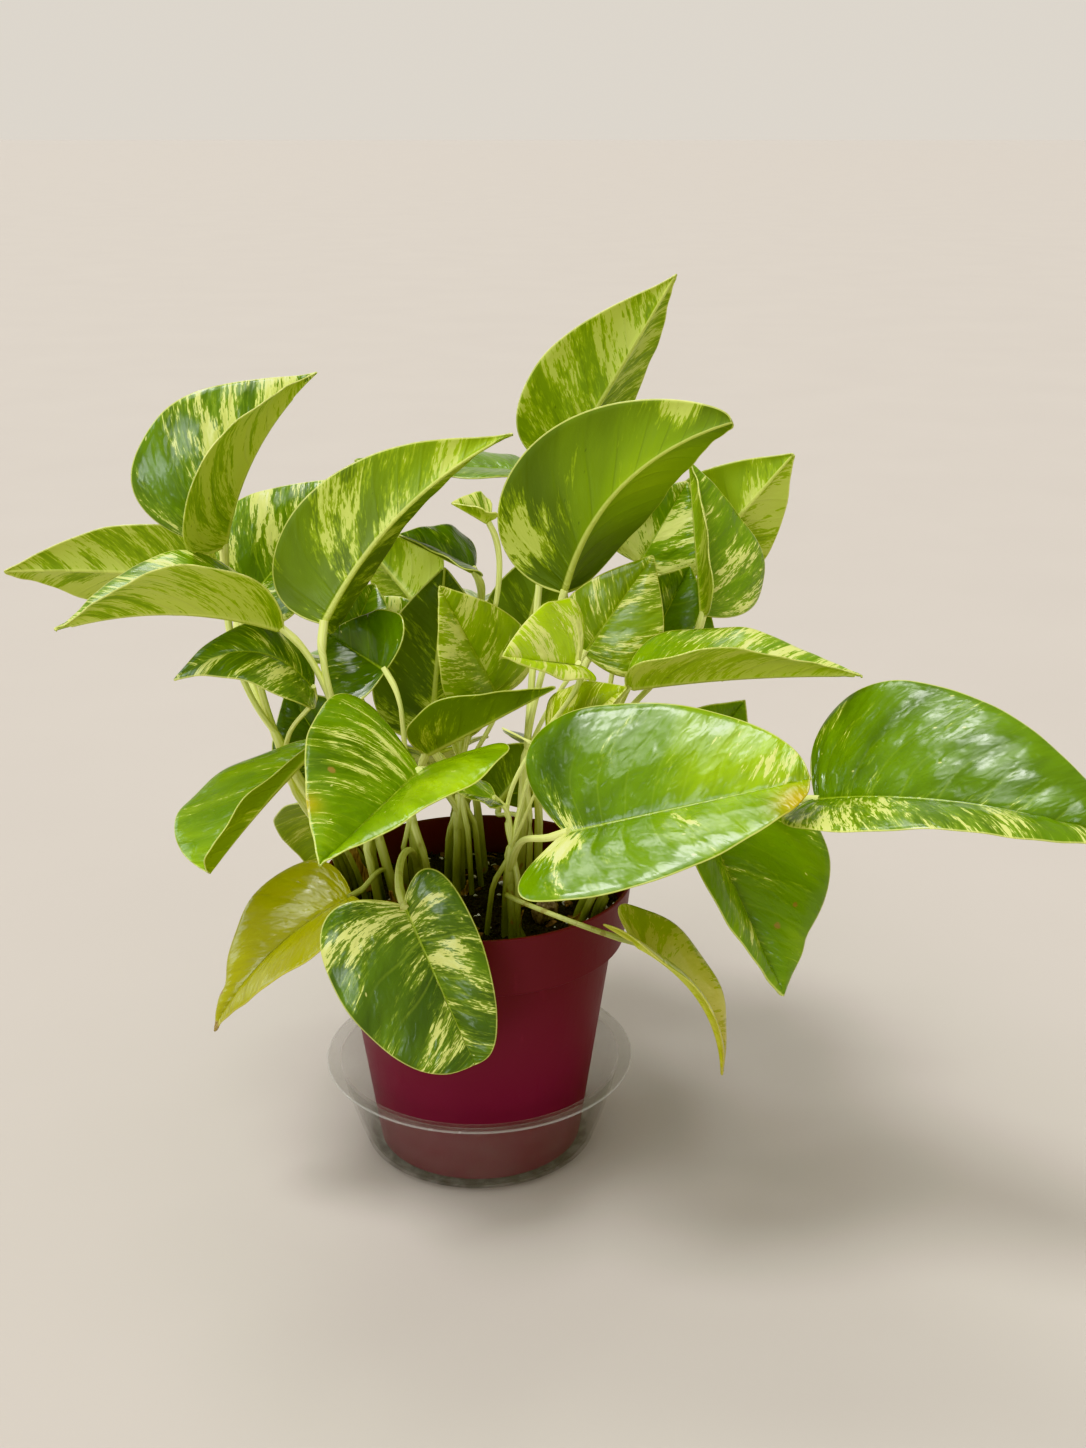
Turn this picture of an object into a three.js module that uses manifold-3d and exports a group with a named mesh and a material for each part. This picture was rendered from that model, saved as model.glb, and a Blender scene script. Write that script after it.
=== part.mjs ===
// A variegated pothos with nine rooted stems in a nursery pot, standing on a clear saucer.
// Millimetres, +Z up. The origin is on the saucer's underside, on the pot's axis, and -Y is the front.
import * as THREE from "three";
import Module from "manifold-3d";
import { mergeVertices } from "three/addons/utils/BufferGeometryUtils.js";

const wasm = await Module();
wasm.setup();

// Pot: a thin moulded wall with a wider collar round its mouth.
const POT_FOOT_Z = 2.8;
const POT_TOP_Z = 124;
const POT_FOOT_RADIUS = 43.7;
const POT_COLLAR_Z = 98;
const POT_NECK_RADIUS = 57.3;
const POT_COLLAR_RADIUS = 62;
const POT_MOUTH_RADIUS = 65;
const POT_WALL = 1.6;
const POT_FLOOR_RISE = 2.2;
const DRAIN_HOLES = 5;
const DRAIN_RADIUS = 4;
const DRAIN_RING_RADIUS = 28;

// Saucer: a flat floor with a raised ring under the pot's foot, a flared wall and a flat flange.
const SAUCER_TOP_Z = 40;
const SAUCER_FLOOR_RADIUS = 47;
const SAUCER_MOUTH_RADIUS = 60.7;
const SAUCER_FLANGE_RADIUS = 66.3;
const SAUCER_WALL = 1.1;
const SAUCER_RING_TOP_Z = 2.5;
const SAUCER_RING_WIDTH = 2;
const SAUCER_RING_RADIUS = 42;

// Soil fills the pot to a little under its mouth.
const SOIL_TOP_Z = 110;
const SOIL_MOUND = 2;
const SEAT_GAP = 0.3;

// Plant: stem and petiole sizes, and the blade's thickness.
const STEM_RADIUS = 2.4;
const STEM_FOOT_Z = 82;
const STEM_HOLE_CLEARANCE = 0.5;
const PETIOLE_RADIUS = 1.5;
const SLIM_PETIOLE_RADIUS = 1.1;
const SLIM_BELOW_HALF_WIDTH = 28;
const BLADE_THICKNESS = 0.9;
const STUB_LENGTH = 4;
const STUB_SINK = 1.2;

const TURN_SEGMENTS = 36;
const PETIOLE_SIDES = 5;
const PETIOLE_STEPS = 5;
const STEM_SIDES = 6;
const STEM_STEPS = 6;
const HOLE_SIDES = 8;
const BLADE_ROWS = 9;
const BLADE_COLUMNS = 2;

const COLOUR = {
  pot: { color: 0x701b33, roughness: 0.55, metalness: 0 },
  saucer: { color: 0xdfe6e4, roughness: 0.12, metalness: 0, transparent: true, opacity: 0.45 },
  soil: { color: 0x1b1511, roughness: 0.95, metalness: 0 },
  stem: { color: 0xa3ab45, roughness: 0.5, metalness: 0 },
  green: { color: 0x5d8f1e, roughness: 0.32, metalness: 0 },
  marbled: { color: 0x9fb455, roughness: 0.32, metalness: 0 },
  olive: { color: 0x8a9433, roughness: 0.55, metalness: 0 },
  yellowed: { color: 0xb0a52f, roughness: 0.45, metalness: 0 },
};

// Each stem: the points above its foot that its axis passes through.
const STEMS = {
  a: [[-48, 3, 114], [-56, 2, 138], [-73, 2, 164], [-84, 3, 188]],
  b: [[-33, -16, 114], [-38, -17, 140], [-43, -18, 160]],
  c: [[-23, -2, 114], [-25, -5, 135], [-27, -8, 155]],
  d: [[-8, 10, 114], [-8, 9, 138], [-7, 8, 158]],
  e: [[13, -31, 114], [14, -31, 135], [15, -30, 150]],
  f: [[17, 1, 114], [19, -2, 150], [21, -6, 182]],
  g: [[42, -24, 114], [47, -27, 128], [53, -31, 140]],
  h: [[40, 16, 114], [44, 16, 140], [50, 14, 170]],
  i: [[-6, 38, 114], [-7, 40, 140], [-8, 41, 162]],
};

// Shape words: arch and sway move the midrib's middle along the face and sideways, in mm. fold
// raises the left and right half towards the face, in degrees. lobe is the depth of the heart's
// lobes, and uneven deepens the right one. skew puts the widest place near the base (+) or the tip
// (-), and taper draws out the tip. wave is the height of the margin's ripple, and bow moves the
// petiole's middle, both in mm.
const PLAIN_SHAPE = {
  look: "green",
  arch: 0,
  sway: 0,
  fold: [15, 15],
  lobe: 0.12,
  uneven: 0,
  skew: 0.3,
  taper: 0.5,
  wave: 1,
  bow: [0, 0, 0],
};

// name, stem, height on the stem, blade base, blade tip, way the upper face looks, half widths, shape
function leaf(name, stem, height, base, tip, face, halves, shape) {
  return { name, stem, height, base, tip, face, halves, ...PLAIN_SHAPE, ...shape };
}

const LEAVES = [
  leaf("left_high", "a", 1, [-100, 10, 262], [-61, 22, 330], [-73, -57, 37], [43, 42],
    { look: "marbled", arch: 8, fold: [55, 55], lobe: 0.05, taper: 0.8, bow: [-6, -12, 0] }),
  leaf("far_left", "a", 0.9, [-108, 22, 245], [-190, 10, 252], [-10, 85, 45], [23, 30],
    { look: "olive", arch: 3 }),
  leaf("left_arching", "b", 1, [-72, -30, 239], [-153, -55, 246], [0, -5, 100], [34, 34],
    { look: "marbled", arch: 7, fold: [48, 26], lobe: -0.15, taper: 0.75 }),
  leaf("left_low", "a", 0.8, [-63, -20, 212], [-115, -35, 220], [0, -50, 85], [19, 17],
    { look: "marbled", arch: 19, fold: [0, 5], lobe: 0.1 }),
  leaf("left_tall", "b", 1, [-57, -25, 240], [16, 20, 306], [5, 100, -10], [32, 33],
    { look: "olive", sway: 9, fold: [80, 8], lobe: 0.1, taper: 0.8 }),
  leaf("left_behind", "a", 1, [-100, 38, 228], [-53, 54, 282], [-30, -60, 70], [37, 37],
    { fold: [20, 20] }),
  leaf("left_glossy", "c", 1, [-35, -12, 217], [-61, 14, 225], [-20, -80, 50], [23, 23],
    { look: "marbled", fold: [20, 20], lobe: 0.3 }),
  leaf("front_left", "c", 1, [-20, -45, 187], [-50, -120, 180], [-25, -45, 85], [40, 44],
    { fold: [16, 40], lobe: 0.45 }),
  leaf("left_lower", "b", 0.9, [-60, -20, 190], [-101, -60, 150], [-50, -60, 60], [14, 30],
    { arch: 2, fold: [70, 5], lobe: 0, skew: -0.5, taper: 0.1 }),
  leaf("left_yellowed", "b", 0.4, [-49, -38, 131], [-104, -55, 79], [-50, -50, 70], [26, 24],
    { look: "yellowed", arch: 9, fold: [20, 20], skew: 0.5 }),
  leaf("front_heart", "c", 0.4, [-25, -74, 144], [2, -88, 83], [0, -95, 30], [23, 38],
    { look: "marbled", fold: [8, 8], lobe: 0.45, skew: 0, taper: 0.2 }),
  leaf("front_big", "e", 0.6, [36, -85, 178], [123, -95, 203], [0, -75, 65], [46, 37],
    { fold: [5, 30], lobe: 0.4, uneven: 0.15, skew: 0.1, taper: 0.3 }),
  leaf("right_big", "g", 1, [129, -70, 185], [237, -120, 186], [0, -60, 80], [47, 31],
    { arch: 12, fold: [12, 32], lobe: 0.2, bow: [0, 0, 40] }),
  leaf("right_drooping", "g", 0.9, [87, -60, 176], [117, -95, 116], [35, -80, 50], [46, 26],
    { fold: [5, 40], skew: 0 }),
  leaf("right_curled", "e", 0.4, [62, -86, 134], [95, -97, 84], [70, -30, 60], [16, 20],
    { look: "yellowed", arch: 10, fold: [25, 35], lobe: 0.5, bow: [-14, -24, -8] }),
  leaf("top", "f", 1, [35, 35, 289], [80, 30, 367], [-10, 95, 30], [30, 31],
    { look: "olive", fold: [45, 10], skew: 0.2 }),
  leaf("top_big", "f", 1, [36, -5, 247], [98, -30, 319], [5, 97, -10], [36, 37],
    { look: "olive", sway: 13, fold: [60, 5], lobe: 0.03 }),
  leaf("back_level", "i", 1, [18, 62, 283], [-53, 62, 287], [0, -5, 100], [25, 25], { fold: [5, 5] }),
  leaf("baby", "d", 1, [6, -5, 276], [-8, -12, 285], [0, -40, 90], [10, 10],
    { look: "marbled", fold: [50, 40] }),
  leaf("mid_right", "f", 0.9, [44, -12, 224], [71, -6, 263], [10, -90, 40], [18, 25],
    { look: "marbled", fold: [0, 0] }),
  leaf("centre_bright", "e", 1, [41, -40, 228], [12, -65, 239], [0, -30, 95], [10, 26],
    { look: "marbled", fold: [-10, 50], lobe: 0.4, bow: [-16, 0, 0] }),
  leaf("centre_yellow", "e", 0.9, [30, -28, 193], [60, -45, 221], [-30, -50, 80], [18, 25],
    { look: "yellowed", fold: [10, 20] }),
  leaf("centre_pale", "d", 1, [9, 8, 200], [-13, -12, 252], [30, -85, 40], [23, 23],
    { look: "marbled", skew: 0.2 }),
  leaf("centre_tall", "d", 0.9, [-19, 10, 181], [-13, 30, 249], [0, 95, 10], [28, 28],
    { look: "olive", fold: [8, 8], skew: 0.1 }),
  leaf("small_upright", "c", 0.8, [-54, 34, 216], [-44, 50, 237], [0, -90, 40], [17, 17],
    { look: "marbled", fold: [20, 20] }),
  leaf("centre_glossy", "i", 1, [-1, 30, 247], [-32, 24, 264], [0, -30, 90], [28, 22],
    { fold: [30, 8], bow: [-14, 16, 0] }),
  leaf("back_pale", "i", 0.8, [-26, 52, 226], [-52, 76, 250], [0, 90, 30], [23, 23], { look: "olive" }),
  leaf("back_low_pale", "i", 0.8, [-34, 38, 208], [-58, 56, 228], [0, -90, 40], [21, 21],
    { look: "olive" }),
  leaf("back_shaded", "i", 0.9, [20, 36, 214], [30, 46, 256], [0, 90, 30], [18, 20], { look: "olive" }),
  leaf("right_pointed", "h", 1, [92, 5, 235], [87, 30, 293], [60, -70, 30], [24, 34],
    { look: "marbled", fold: [58, 8], skew: 0.2 }),
  leaf("far_right_high", "h", 1, [94, 42, 249], [132, 48, 293], [10, 90, 30], [27, 27],
    { fold: [20, 20] }),
  leaf("right_marbled", "h", 0.9, [68, 40, 248], [88, 45, 282], [-10, -90, 40], [25, 25],
    { look: "marbled" }),
  leaf("right_shaded", "h", 0.8, [70, 14, 217], [88, 22, 252], [20, -90, 40], [25, 25],
    { fold: [25, 15] }),
  leaf("right_arching", "g", 1, [60, -40, 219], [148, -50, 227], [0, -5, 100], [30, 27],
    { arch: 2, fold: [25, 45], lobe: 0.05, taper: 0.7 }),
  leaf("right_tucked", "h", 0.5, [89, 10, 169], [110, 0, 201], [20, -80, 50], [21, 21], {}),
  leaf("centre_folded", "d", 0.7, [-20, -8, 180], [33, -20, 213], [-30, 50, 80], [16, 28],
    { look: "olive", fold: [20, 20], lobe: 0.05 }),
  leaf("centre_level", "e", 0.9, [9, -32, 170], [-8, -38, 176], [0, -10, 100], [14, 14],
    { fold: [10, 10] }),
  leaf("centre_dark", "f", 0.5, [9, 26, 146], [28, 16, 177], [20, 80, 50], [21, 21], {}),
  leaf("left_shaded", "a", 0.6, [-60, 12, 170], [-80, 20, 199], [-20, -90, 30], [22, 22], {}),
  leaf("rear_left_high", "i", 1, [-42, 62, 192], [-105, 118, 170], [-40, 40, 80], [35, 35], { arch: 8 }),
  leaf("rear_high", "i", 1, [-10, 62, 213], [6, 144, 200], [0, 30, 95], [38, 38],
    { look: "marbled", arch: 8 }),
  leaf("rear_right_high", "h", 0.9, [48, 48, 205], [112, 105, 175], [40, 40, 80], [35, 35], { arch: 8 }),
  leaf("rear_left_low", "i", 0.7, [-20, 48, 160], [-50, 112, 105], [-20, 70, 70], [33, 33],
    { look: "marbled", arch: 8 }),
  leaf("rear_right_low", "i", 0.5, [32, 55, 160], [62, 118, 100], [20, 70, 70], [33, 33], { arch: 8 }),
  leaf("rear_right_side", "h", 0.6, [72, 30, 165], [140, 62, 150], [40, 30, 85], [31, 31], { arch: 8 }),
  leaf("rear_left_side", "a", 0.4, [-52, 42, 140], [-82, 98, 80], [-40, 50, 70], [31, 31], { arch: 8 }),
];

// A closed geometry as a solid: vertices that share a place are merged, and a mesh that faces
// inwards is turned round.
function solid(geometry) {
  const bare = new THREE.BufferGeometry();
  bare.setAttribute("position", geometry.getAttribute("position"));
  bare.setIndex(geometry.index);
  const merged = mergeVertices(bare, 1e-4);
  const vertProperties = merged.attributes.position.array;
  const triVerts = new Uint32Array(merged.index.array);
  const made = new wasm.Manifold(new wasm.Mesh({ numProp: 3, vertProperties, triVerts }));
  if (made.volume() > 0) return made;
  return new wasm.Manifold(new wasm.Mesh({ numProp: 3, vertProperties, triVerts: triVerts.reverse() }));
}

function geometryOf(manifold) {
  const mesh = manifold.getMesh();
  const geometry = new THREE.BufferGeometry();
  geometry.setAttribute("position", new THREE.BufferAttribute(mesh.vertProperties, 3));
  geometry.setIndex(new THREE.BufferAttribute(mesh.triVerts, 1));
  return geometry;
}

function meshOf(name, manifold, look) {
  const mesh = new THREE.Mesh(geometryOf(manifold), new THREE.MeshStandardMaterial(look));
  mesh.name = name;
  return mesh;
}

// Turns a closed outline of [radius, height] pairs round the Z axis.
function turned(outline) {
  const points = [...outline, outline[0]].map(([r, z]) => new THREE.Vector2(r, z));
  return solid(new THREE.LatheGeometry(points, TURN_SEGMENTS).rotateX(Math.PI / 2));
}

function polygon(radius, sides) {
  const shape = new THREE.Shape();
  for (let i = 0; i < sides; i++) {
    const angle = (2 * Math.PI * i) / sides;
    const x = radius * Math.cos(angle);
    const y = radius * Math.sin(angle);
    if (i === 0) shape.moveTo(x, y);
    else shape.lineTo(x, y);
  }
  shape.closePath();
  return shape;
}

function tube(curve, radius, sides, steps) {
  const settings = { steps, extrudePath: curve, bevelEnabled: false };
  return solid(new THREE.ExtrudeGeometry(polygon(radius, sides), settings));
}

function upright(x, y, z0, z1, radius, sides) {
  const geometry = new THREE.CylinderGeometry(radius, radius, z1 - z0, sides);
  return solid(geometry.rotateX(Math.PI / 2).translate(x, y, (z0 + z1) / 2));
}

// Pot: outer wall, step, collar and lip outside, and the same line one wall further in.
function makePot() {
  const floorZ = POT_FOOT_Z + POT_FLOOR_RISE;
  const collarStep = 1.5;
  const outline = [
    [0, floorZ],
    [POT_FOOT_RADIUS - 4, floorZ],
    [POT_FOOT_RADIUS - 3, POT_FOOT_Z],
    [POT_FOOT_RADIUS, POT_FOOT_Z],
    [POT_NECK_RADIUS, POT_COLLAR_Z - collarStep],
    [POT_COLLAR_RADIUS, POT_COLLAR_Z],
    [POT_MOUTH_RADIUS - 0.4, POT_TOP_Z - 2],
    [POT_MOUTH_RADIUS, POT_TOP_Z - 0.6],
    [POT_MOUTH_RADIUS - 0.6, POT_TOP_Z],
    [POT_MOUTH_RADIUS - POT_WALL, POT_TOP_Z],
    ...potInside(0),
  ];
  let pot = turned(outline);
  for (let i = 0; i < DRAIN_HOLES; i++) {
    const angle = (2 * Math.PI * (i + 0.5)) / DRAIN_HOLES;
    const x = DRAIN_RING_RADIUS * Math.cos(angle);
    const y = DRAIN_RING_RADIUS * Math.sin(angle);
    pot = pot.subtract(upright(x, y, floorZ - 1, floorZ + POT_WALL + 1, DRAIN_RADIUS, 12));
  }
  return pot;
}

// The pot's inner line from the collar down to the floor's middle, moved inwards by a gap.
function potInside(gap) {
  const floorZ = POT_FOOT_Z + POT_FLOOR_RISE + POT_WALL + gap;
  return [
    [POT_COLLAR_RADIUS - POT_WALL - gap, POT_COLLAR_Z + POT_WALL + gap],
    [POT_NECK_RADIUS - POT_WALL - gap, POT_COLLAR_Z + gap],
    [POT_FOOT_RADIUS - POT_WALL - gap, floorZ],
    [0, floorZ],
  ];
}

// Soil: the pot's inside with a seat gap, a low mound on top, and a plain hole for each stem.
function makeSoil() {
  const edgeZ = SOIL_TOP_Z - 3;
  const slope = (POT_MOUTH_RADIUS - POT_COLLAR_RADIUS) / (POT_TOP_Z - POT_COLLAR_Z - POT_WALL);
  const edge = POT_COLLAR_RADIUS + slope * (edgeZ - POT_COLLAR_Z - POT_WALL) - POT_WALL - SEAT_GAP;
  const outline = [
    [edge, edgeZ],
    ...potInside(SEAT_GAP),
    [0, SOIL_TOP_Z + SOIL_MOUND],
    [edge * 0.35, SOIL_TOP_Z + SOIL_MOUND * 0.6],
    [edge * 0.7, SOIL_TOP_Z],
    [edge - 2, SOIL_TOP_Z - 1.5],
  ];
  let soil = turned(outline);
  const holeRadius = (STEM_RADIUS + STEM_HOLE_CLEARANCE) / Math.cos(Math.PI / HOLE_SIDES);
  for (const points of Object.values(STEMS)) {
    const [x, y] = points[0];
    const hole = upright(x, y, STEM_FOOT_Z - SEAT_GAP, SOIL_TOP_Z + 10, holeRadius, HOLE_SIDES);
    soil = soil.subtract(hole);
  }
  return soil;
}

function makeSaucer() {
  const floor = SAUCER_WALL;
  const outline = [
    [0, 0],
    [SAUCER_FLOOR_RADIUS - 1, 0],
    [SAUCER_FLOOR_RADIUS + 3, 3],
    [54, 14],
    [58, 27],
    [SAUCER_MOUTH_RADIUS, SAUCER_TOP_Z - SAUCER_WALL],
    [SAUCER_FLANGE_RADIUS, SAUCER_TOP_Z - SAUCER_WALL],
    [SAUCER_FLANGE_RADIUS, SAUCER_TOP_Z],
    [SAUCER_MOUTH_RADIUS - 0.8, SAUCER_TOP_Z],
    [58 - SAUCER_WALL, 27],
    [54 - SAUCER_WALL, 14],
    [SAUCER_FLOOR_RADIUS + 2, 4],
    [SAUCER_FLOOR_RADIUS - 1.5, floor],
    [SAUCER_RING_RADIUS + SAUCER_RING_WIDTH / 2, floor],
    [SAUCER_RING_RADIUS + SAUCER_RING_WIDTH / 4, SAUCER_RING_TOP_Z],
    [SAUCER_RING_RADIUS - SAUCER_RING_WIDTH / 4, SAUCER_RING_TOP_Z],
    [SAUCER_RING_RADIUS - SAUCER_RING_WIDTH / 2, floor],
    [0, floor],
  ];
  return turned(outline);
}

const vector = (list) => new THREE.Vector3(...list);
const radians = THREE.MathUtils.degToRad;

// A blade's midrib, its frame along it, and any point of its middle surface.
class Blade {
  constructor(spec) {
    Object.assign(this, spec);
    this.base = vector(spec.base);
    this.tip = vector(spec.tip);
    this.face = vector(spec.face).normalize();
    const along = this.tip.clone().sub(this.base).normalize();
    const up = this.face.clone().addScaledVector(along, -this.face.dot(along)).normalize();
    const side = new THREE.Vector3().crossVectors(along, up);
    this.middle = this.base.clone().add(this.tip).multiplyScalar(0.5);
    this.middle.addScaledVector(up, 2 * this.arch).addScaledVector(side, 2 * this.sway);
    this.rib = new THREE.QuadraticBezierCurve3(this.base, this.middle, this.tip);
  }

  frame(v) {
    const t = THREE.MathUtils.clamp(v, 0, 1);
    const start = this.middle.clone().sub(this.base).multiplyScalar(2);
    const end = this.tip.clone().sub(this.middle).multiplyScalar(2);
    const along = start.clone().multiplyScalar(1 - t).addScaledVector(end, t).normalize();
    const place = this.rib.getPoint(t).addScaledVector(start, v - t);
    const up = this.face.clone().addScaledVector(along, -this.face.dot(along)).normalize();
    const side = new THREE.Vector3().crossVectors(along, up);
    return { place, along, up, side };
  }

  // u is in mm across the blade, negative on the left, and v runs from 0 at the base to 1 at the tip.
  at(u, v) {
    const { place, up, side } = this.frame(v);
    const half = u < 0 ? 0 : 1;
    const reach = Math.abs(u);
    const angle = radians(this.fold[half]);
    const ripple = this.wave * (reach / this.halves[half]) ** 2 * Math.sin(14 * v + 2.1 * half);
    place.addScaledVector(side, Math.sign(u) * reach * Math.cos(angle));
    return place.addScaledVector(up, reach * Math.sin(angle) + ripple);
  }

  // The outline at an angle from 0, the notch, to pi, the tip, with the rib's place on the same row.
  outline(angle, half) {
    const h = (1 - Math.cos(angle)) / 2;
    const across = Math.sin(angle) * (1 + this.skew * Math.cos(angle)) * (1 - this.taper * h ** 3);
    const lobe = this.lobe + this.uneven * half;
    return { across, along: h - lobe * Math.sin(angle) * (1 - h), rib: h * (0.7 + 0.3 * h) };
  }

  // The way the petiole comes in: half from its stem, moved by the bow, and half along the midrib.
  arrival() {
    const from = stemNode(this.stem, this.height).place.add(vector(this.bow));
    const way = this.base.clone().sub(from).normalize();
    return way.add(this.frame(0).along).normalize();
  }
}

// The blade's middle surface as rows of points from side to side, the notch first and the tip last.
function bladeRows(blade) {
  const rows = [];
  for (let i = 0; i <= BLADE_ROWS; i++) {
    const row = [];
    for (let j = -BLADE_COLUMNS; j <= BLADE_COLUMNS; j++) {
      const t = Math.abs(j) / BLADE_COLUMNS;
      const half = j < 0 ? 0 : 1;
      const { across, along, rib } = blade.outline((Math.PI * i) / BLADE_ROWS, half);
      row.push(blade.at(Math.sign(j) * across * t * blade.halves[half], rib + (along - rib) * t));
    }
    rows.push(i === 0 || i === BLADE_ROWS ? [row[BLADE_COLUMNS]] : row);
  }
  return rows;
}

// Triangles of the middle surface, as triples of point numbers.
function bladeFaces(rows) {
  const first = [];
  let count = 0;
  for (const row of rows) {
    first.push(count);
    count += row.length;
  }
  const faces = [];
  const wide = 2 * BLADE_COLUMNS;
  const last = rows.length - 1;
  for (let j = 0; j < wide; j++) {
    faces.push([0, first[1] + j + 1, first[1] + j]);
    faces.push([first[last], first[last - 1] + j, first[last - 1] + j + 1]);
    for (let i = 1; i < last - 1; i++) {
      const a = first[i] + j;
      const b = first[i + 1] + j;
      faces.push([a, a + 1, b + 1], [a, b + 1, b]);
    }
  }
  const rim = [0];
  for (let i = 1; i < last; i++) rim.push(first[i] + wide);
  rim.push(first[last]);
  for (let i = last - 1; i > 0; i--) rim.push(first[i]);
  return { faces, rim, count };
}

// The blade as a closed solid: both faces split alike, half a thickness each side of the middle.
function bladeSolid(blade) {
  const rows = bladeRows(blade);
  const points = rows.flat();
  const { faces, rim, count } = bladeFaces(rows);
  const normals = points.map(() => new THREE.Vector3());
  const faceNormals = faces.map(([a, b, c]) => {
    const normal = points[b].clone().sub(points[a]).cross(points[c].clone().sub(points[a]));
    for (const k of [a, b, c]) normals[k].add(normal);
    return normal.normalize();
  });
  const lean = points.map(() => [0, 0]);
  normals.forEach((normal) => normal.normalize());
  faces.forEach((face, i) => {
    for (const k of face) {
      lean[k][0] += normals[k].dot(faceNormals[i]);
      lean[k][1] += 1;
    }
  });
  const offsets = normals.map((normal, k) => {
    const cosine = Math.max(lean[k][0] / lean[k][1], 0.6);
    return normal.clone().multiplyScalar(BLADE_THICKNESS / 2 / cosine);
  });
  const upper = points.map((point, k) => point.clone().add(offsets[k]));
  const lower = points.map((point, k) => point.clone().sub(offsets[k]));
  const index = faces.flatMap(([a, b, c]) => [a, b, c, a + count, c + count, b + count]);
  rim.forEach((a, i) => {
    const b = rim[(i + 1) % rim.length];
    index.push(a, a + count, b + count, a, b + count, b);
  });
  const geometry = new THREE.BufferGeometry().setFromPoints([...upper, ...lower]);
  geometry.setIndex(index);
  return solid(geometry);
}

const stemCurve = (points) => {
  const [x, y] = points[0];
  const feet = [STEM_FOOT_Z, STEM_FOOT_Z + 16].map((z) => new THREE.Vector3(x, y, z));
  return new THREE.CatmullRomCurve3([...feet, ...points.map(vector)]);
};

// Where a petiole leaves its stem: a share of the stem's height above the soil.
function stemNode(stem, height) {
  const curve = stemCurve(STEMS[stem]);
  const t = 0.45 + 0.54 * height;
  return { place: curve.getPoint(t), way: curve.getTangent(t) };
}

function petioleRadius(spec) {
  return Math.max(...spec.halves) < SLIM_BELOW_HALF_WIDTH ? SLIM_PETIOLE_RADIUS : PETIOLE_RADIUS;
}

// The petiole's line, from the stem to just short of the stub behind the blade.
function petioleCurve(blade) {
  const node = stemNode(blade.stem, blade.height);
  const arrive = blade.arrival();
  const end = blade.base.clone().addScaledVector(arrive, -STUB_LENGTH - SEAT_GAP);
  const span = node.place.distanceTo(end);
  const out = end.clone().sub(node.place).normalize();
  const leave = node.way.clone().addScaledVector(out, 0.5).normalize();
  const first = node.place.clone().addScaledVector(leave, span * 0.4).add(vector(blade.bow));
  const second = end.clone().addScaledVector(arrive, -span * 0.22);
  return new THREE.CubicBezierCurve3(node.place, first, second, end);
}

function makeStem(stem, blades) {
  let made = tube(stemCurve(STEMS[stem]), STEM_RADIUS, STEM_SIDES, STEM_STEPS);
  for (const blade of blades) {
    made = made.add(tube(petioleCurve(blade), petioleRadius(blade), PETIOLE_SIDES, PETIOLE_STEPS));
  }
  return made;
}

function makeLeaf(blade) {
  const arrive = blade.arrival();
  const back = blade.base.clone().addScaledVector(arrive, -STUB_LENGTH);
  const front = blade.base.clone().addScaledVector(arrive, STUB_SINK);
  const stub = tube(new THREE.LineCurve3(back, front), petioleRadius(blade), PETIOLE_SIDES, 1);
  return bladeSolid(blade).add(stub);
}

const plant = new THREE.Group();
const blades = LEAVES.map((spec) => new Blade(spec));
for (const stem of Object.keys(STEMS)) {
  const own = blades.filter((blade) => blade.stem === stem);
  plant.add(meshOf(`stem_${stem}`, makeStem(stem, own), COLOUR.stem));
}
for (const blade of blades) plant.add(meshOf(`leaf_${blade.name}`, makeLeaf(blade), COLOUR[blade.look]));

const holder = new THREE.Group();
holder.add(meshOf("pot", makePot(), COLOUR.pot));
holder.add(meshOf("saucer", makeSaucer(), COLOUR.saucer));
holder.add(meshOf("soil", makeSoil(), COLOUR.soil));

const object = new THREE.Group();
object.add(holder, plant);

export default object;
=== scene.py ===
# %% [markdown]
# # A variegated pothos in its nursery pot
#
# The plant is forty-six heart-shaped leaves on nine rooted stems. It stands in a thin moulded pot on
# a clear saucer. Every leaf has the same build, so this lesson makes one leaf rule and one pair of
# leaf finishes, and lets a table of places and tones tell the leaves apart.
#
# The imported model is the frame: it says where every piece is. Blender works in metres, and the
# tables below are in millimetres, because that is how leaves and pots are measured.

# %% Load the frame
import math

import bpy
import numpy as np
from mathutils import Euler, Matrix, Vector


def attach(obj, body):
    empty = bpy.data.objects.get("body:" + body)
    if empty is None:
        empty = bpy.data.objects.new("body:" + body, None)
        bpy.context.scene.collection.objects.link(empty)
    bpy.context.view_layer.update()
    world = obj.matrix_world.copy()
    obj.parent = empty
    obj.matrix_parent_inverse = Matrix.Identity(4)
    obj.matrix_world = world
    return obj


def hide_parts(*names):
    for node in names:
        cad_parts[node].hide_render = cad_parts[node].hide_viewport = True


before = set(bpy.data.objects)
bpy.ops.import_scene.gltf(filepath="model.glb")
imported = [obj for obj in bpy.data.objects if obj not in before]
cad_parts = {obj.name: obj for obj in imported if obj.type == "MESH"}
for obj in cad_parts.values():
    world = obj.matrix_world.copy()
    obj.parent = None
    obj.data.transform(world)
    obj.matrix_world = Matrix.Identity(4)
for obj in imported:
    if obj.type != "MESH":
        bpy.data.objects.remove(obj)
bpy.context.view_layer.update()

MM = 0.001

# %% [markdown]
# Every object enters the scene the same way, and every mesh comes from points in millimetres. A
# modifier's result becomes the plain mesh of its piece.

# %% Objects and meshes
def linked(name, data):
    made = bpy.data.objects.new(name, data)
    bpy.context.scene.collection.objects.link(made)
    return made


def new_mesh(name, points, faces, edges=(), smooth=True):
    mesh = bpy.data.meshes.new(name)
    mesh.from_pydata((np.array(points, float) * MM).tolist(), edges, faces)
    if smooth:
        mesh.polygons.foreach_set("use_smooth", [True] * len(faces))
    mesh.update()
    return mesh


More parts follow.
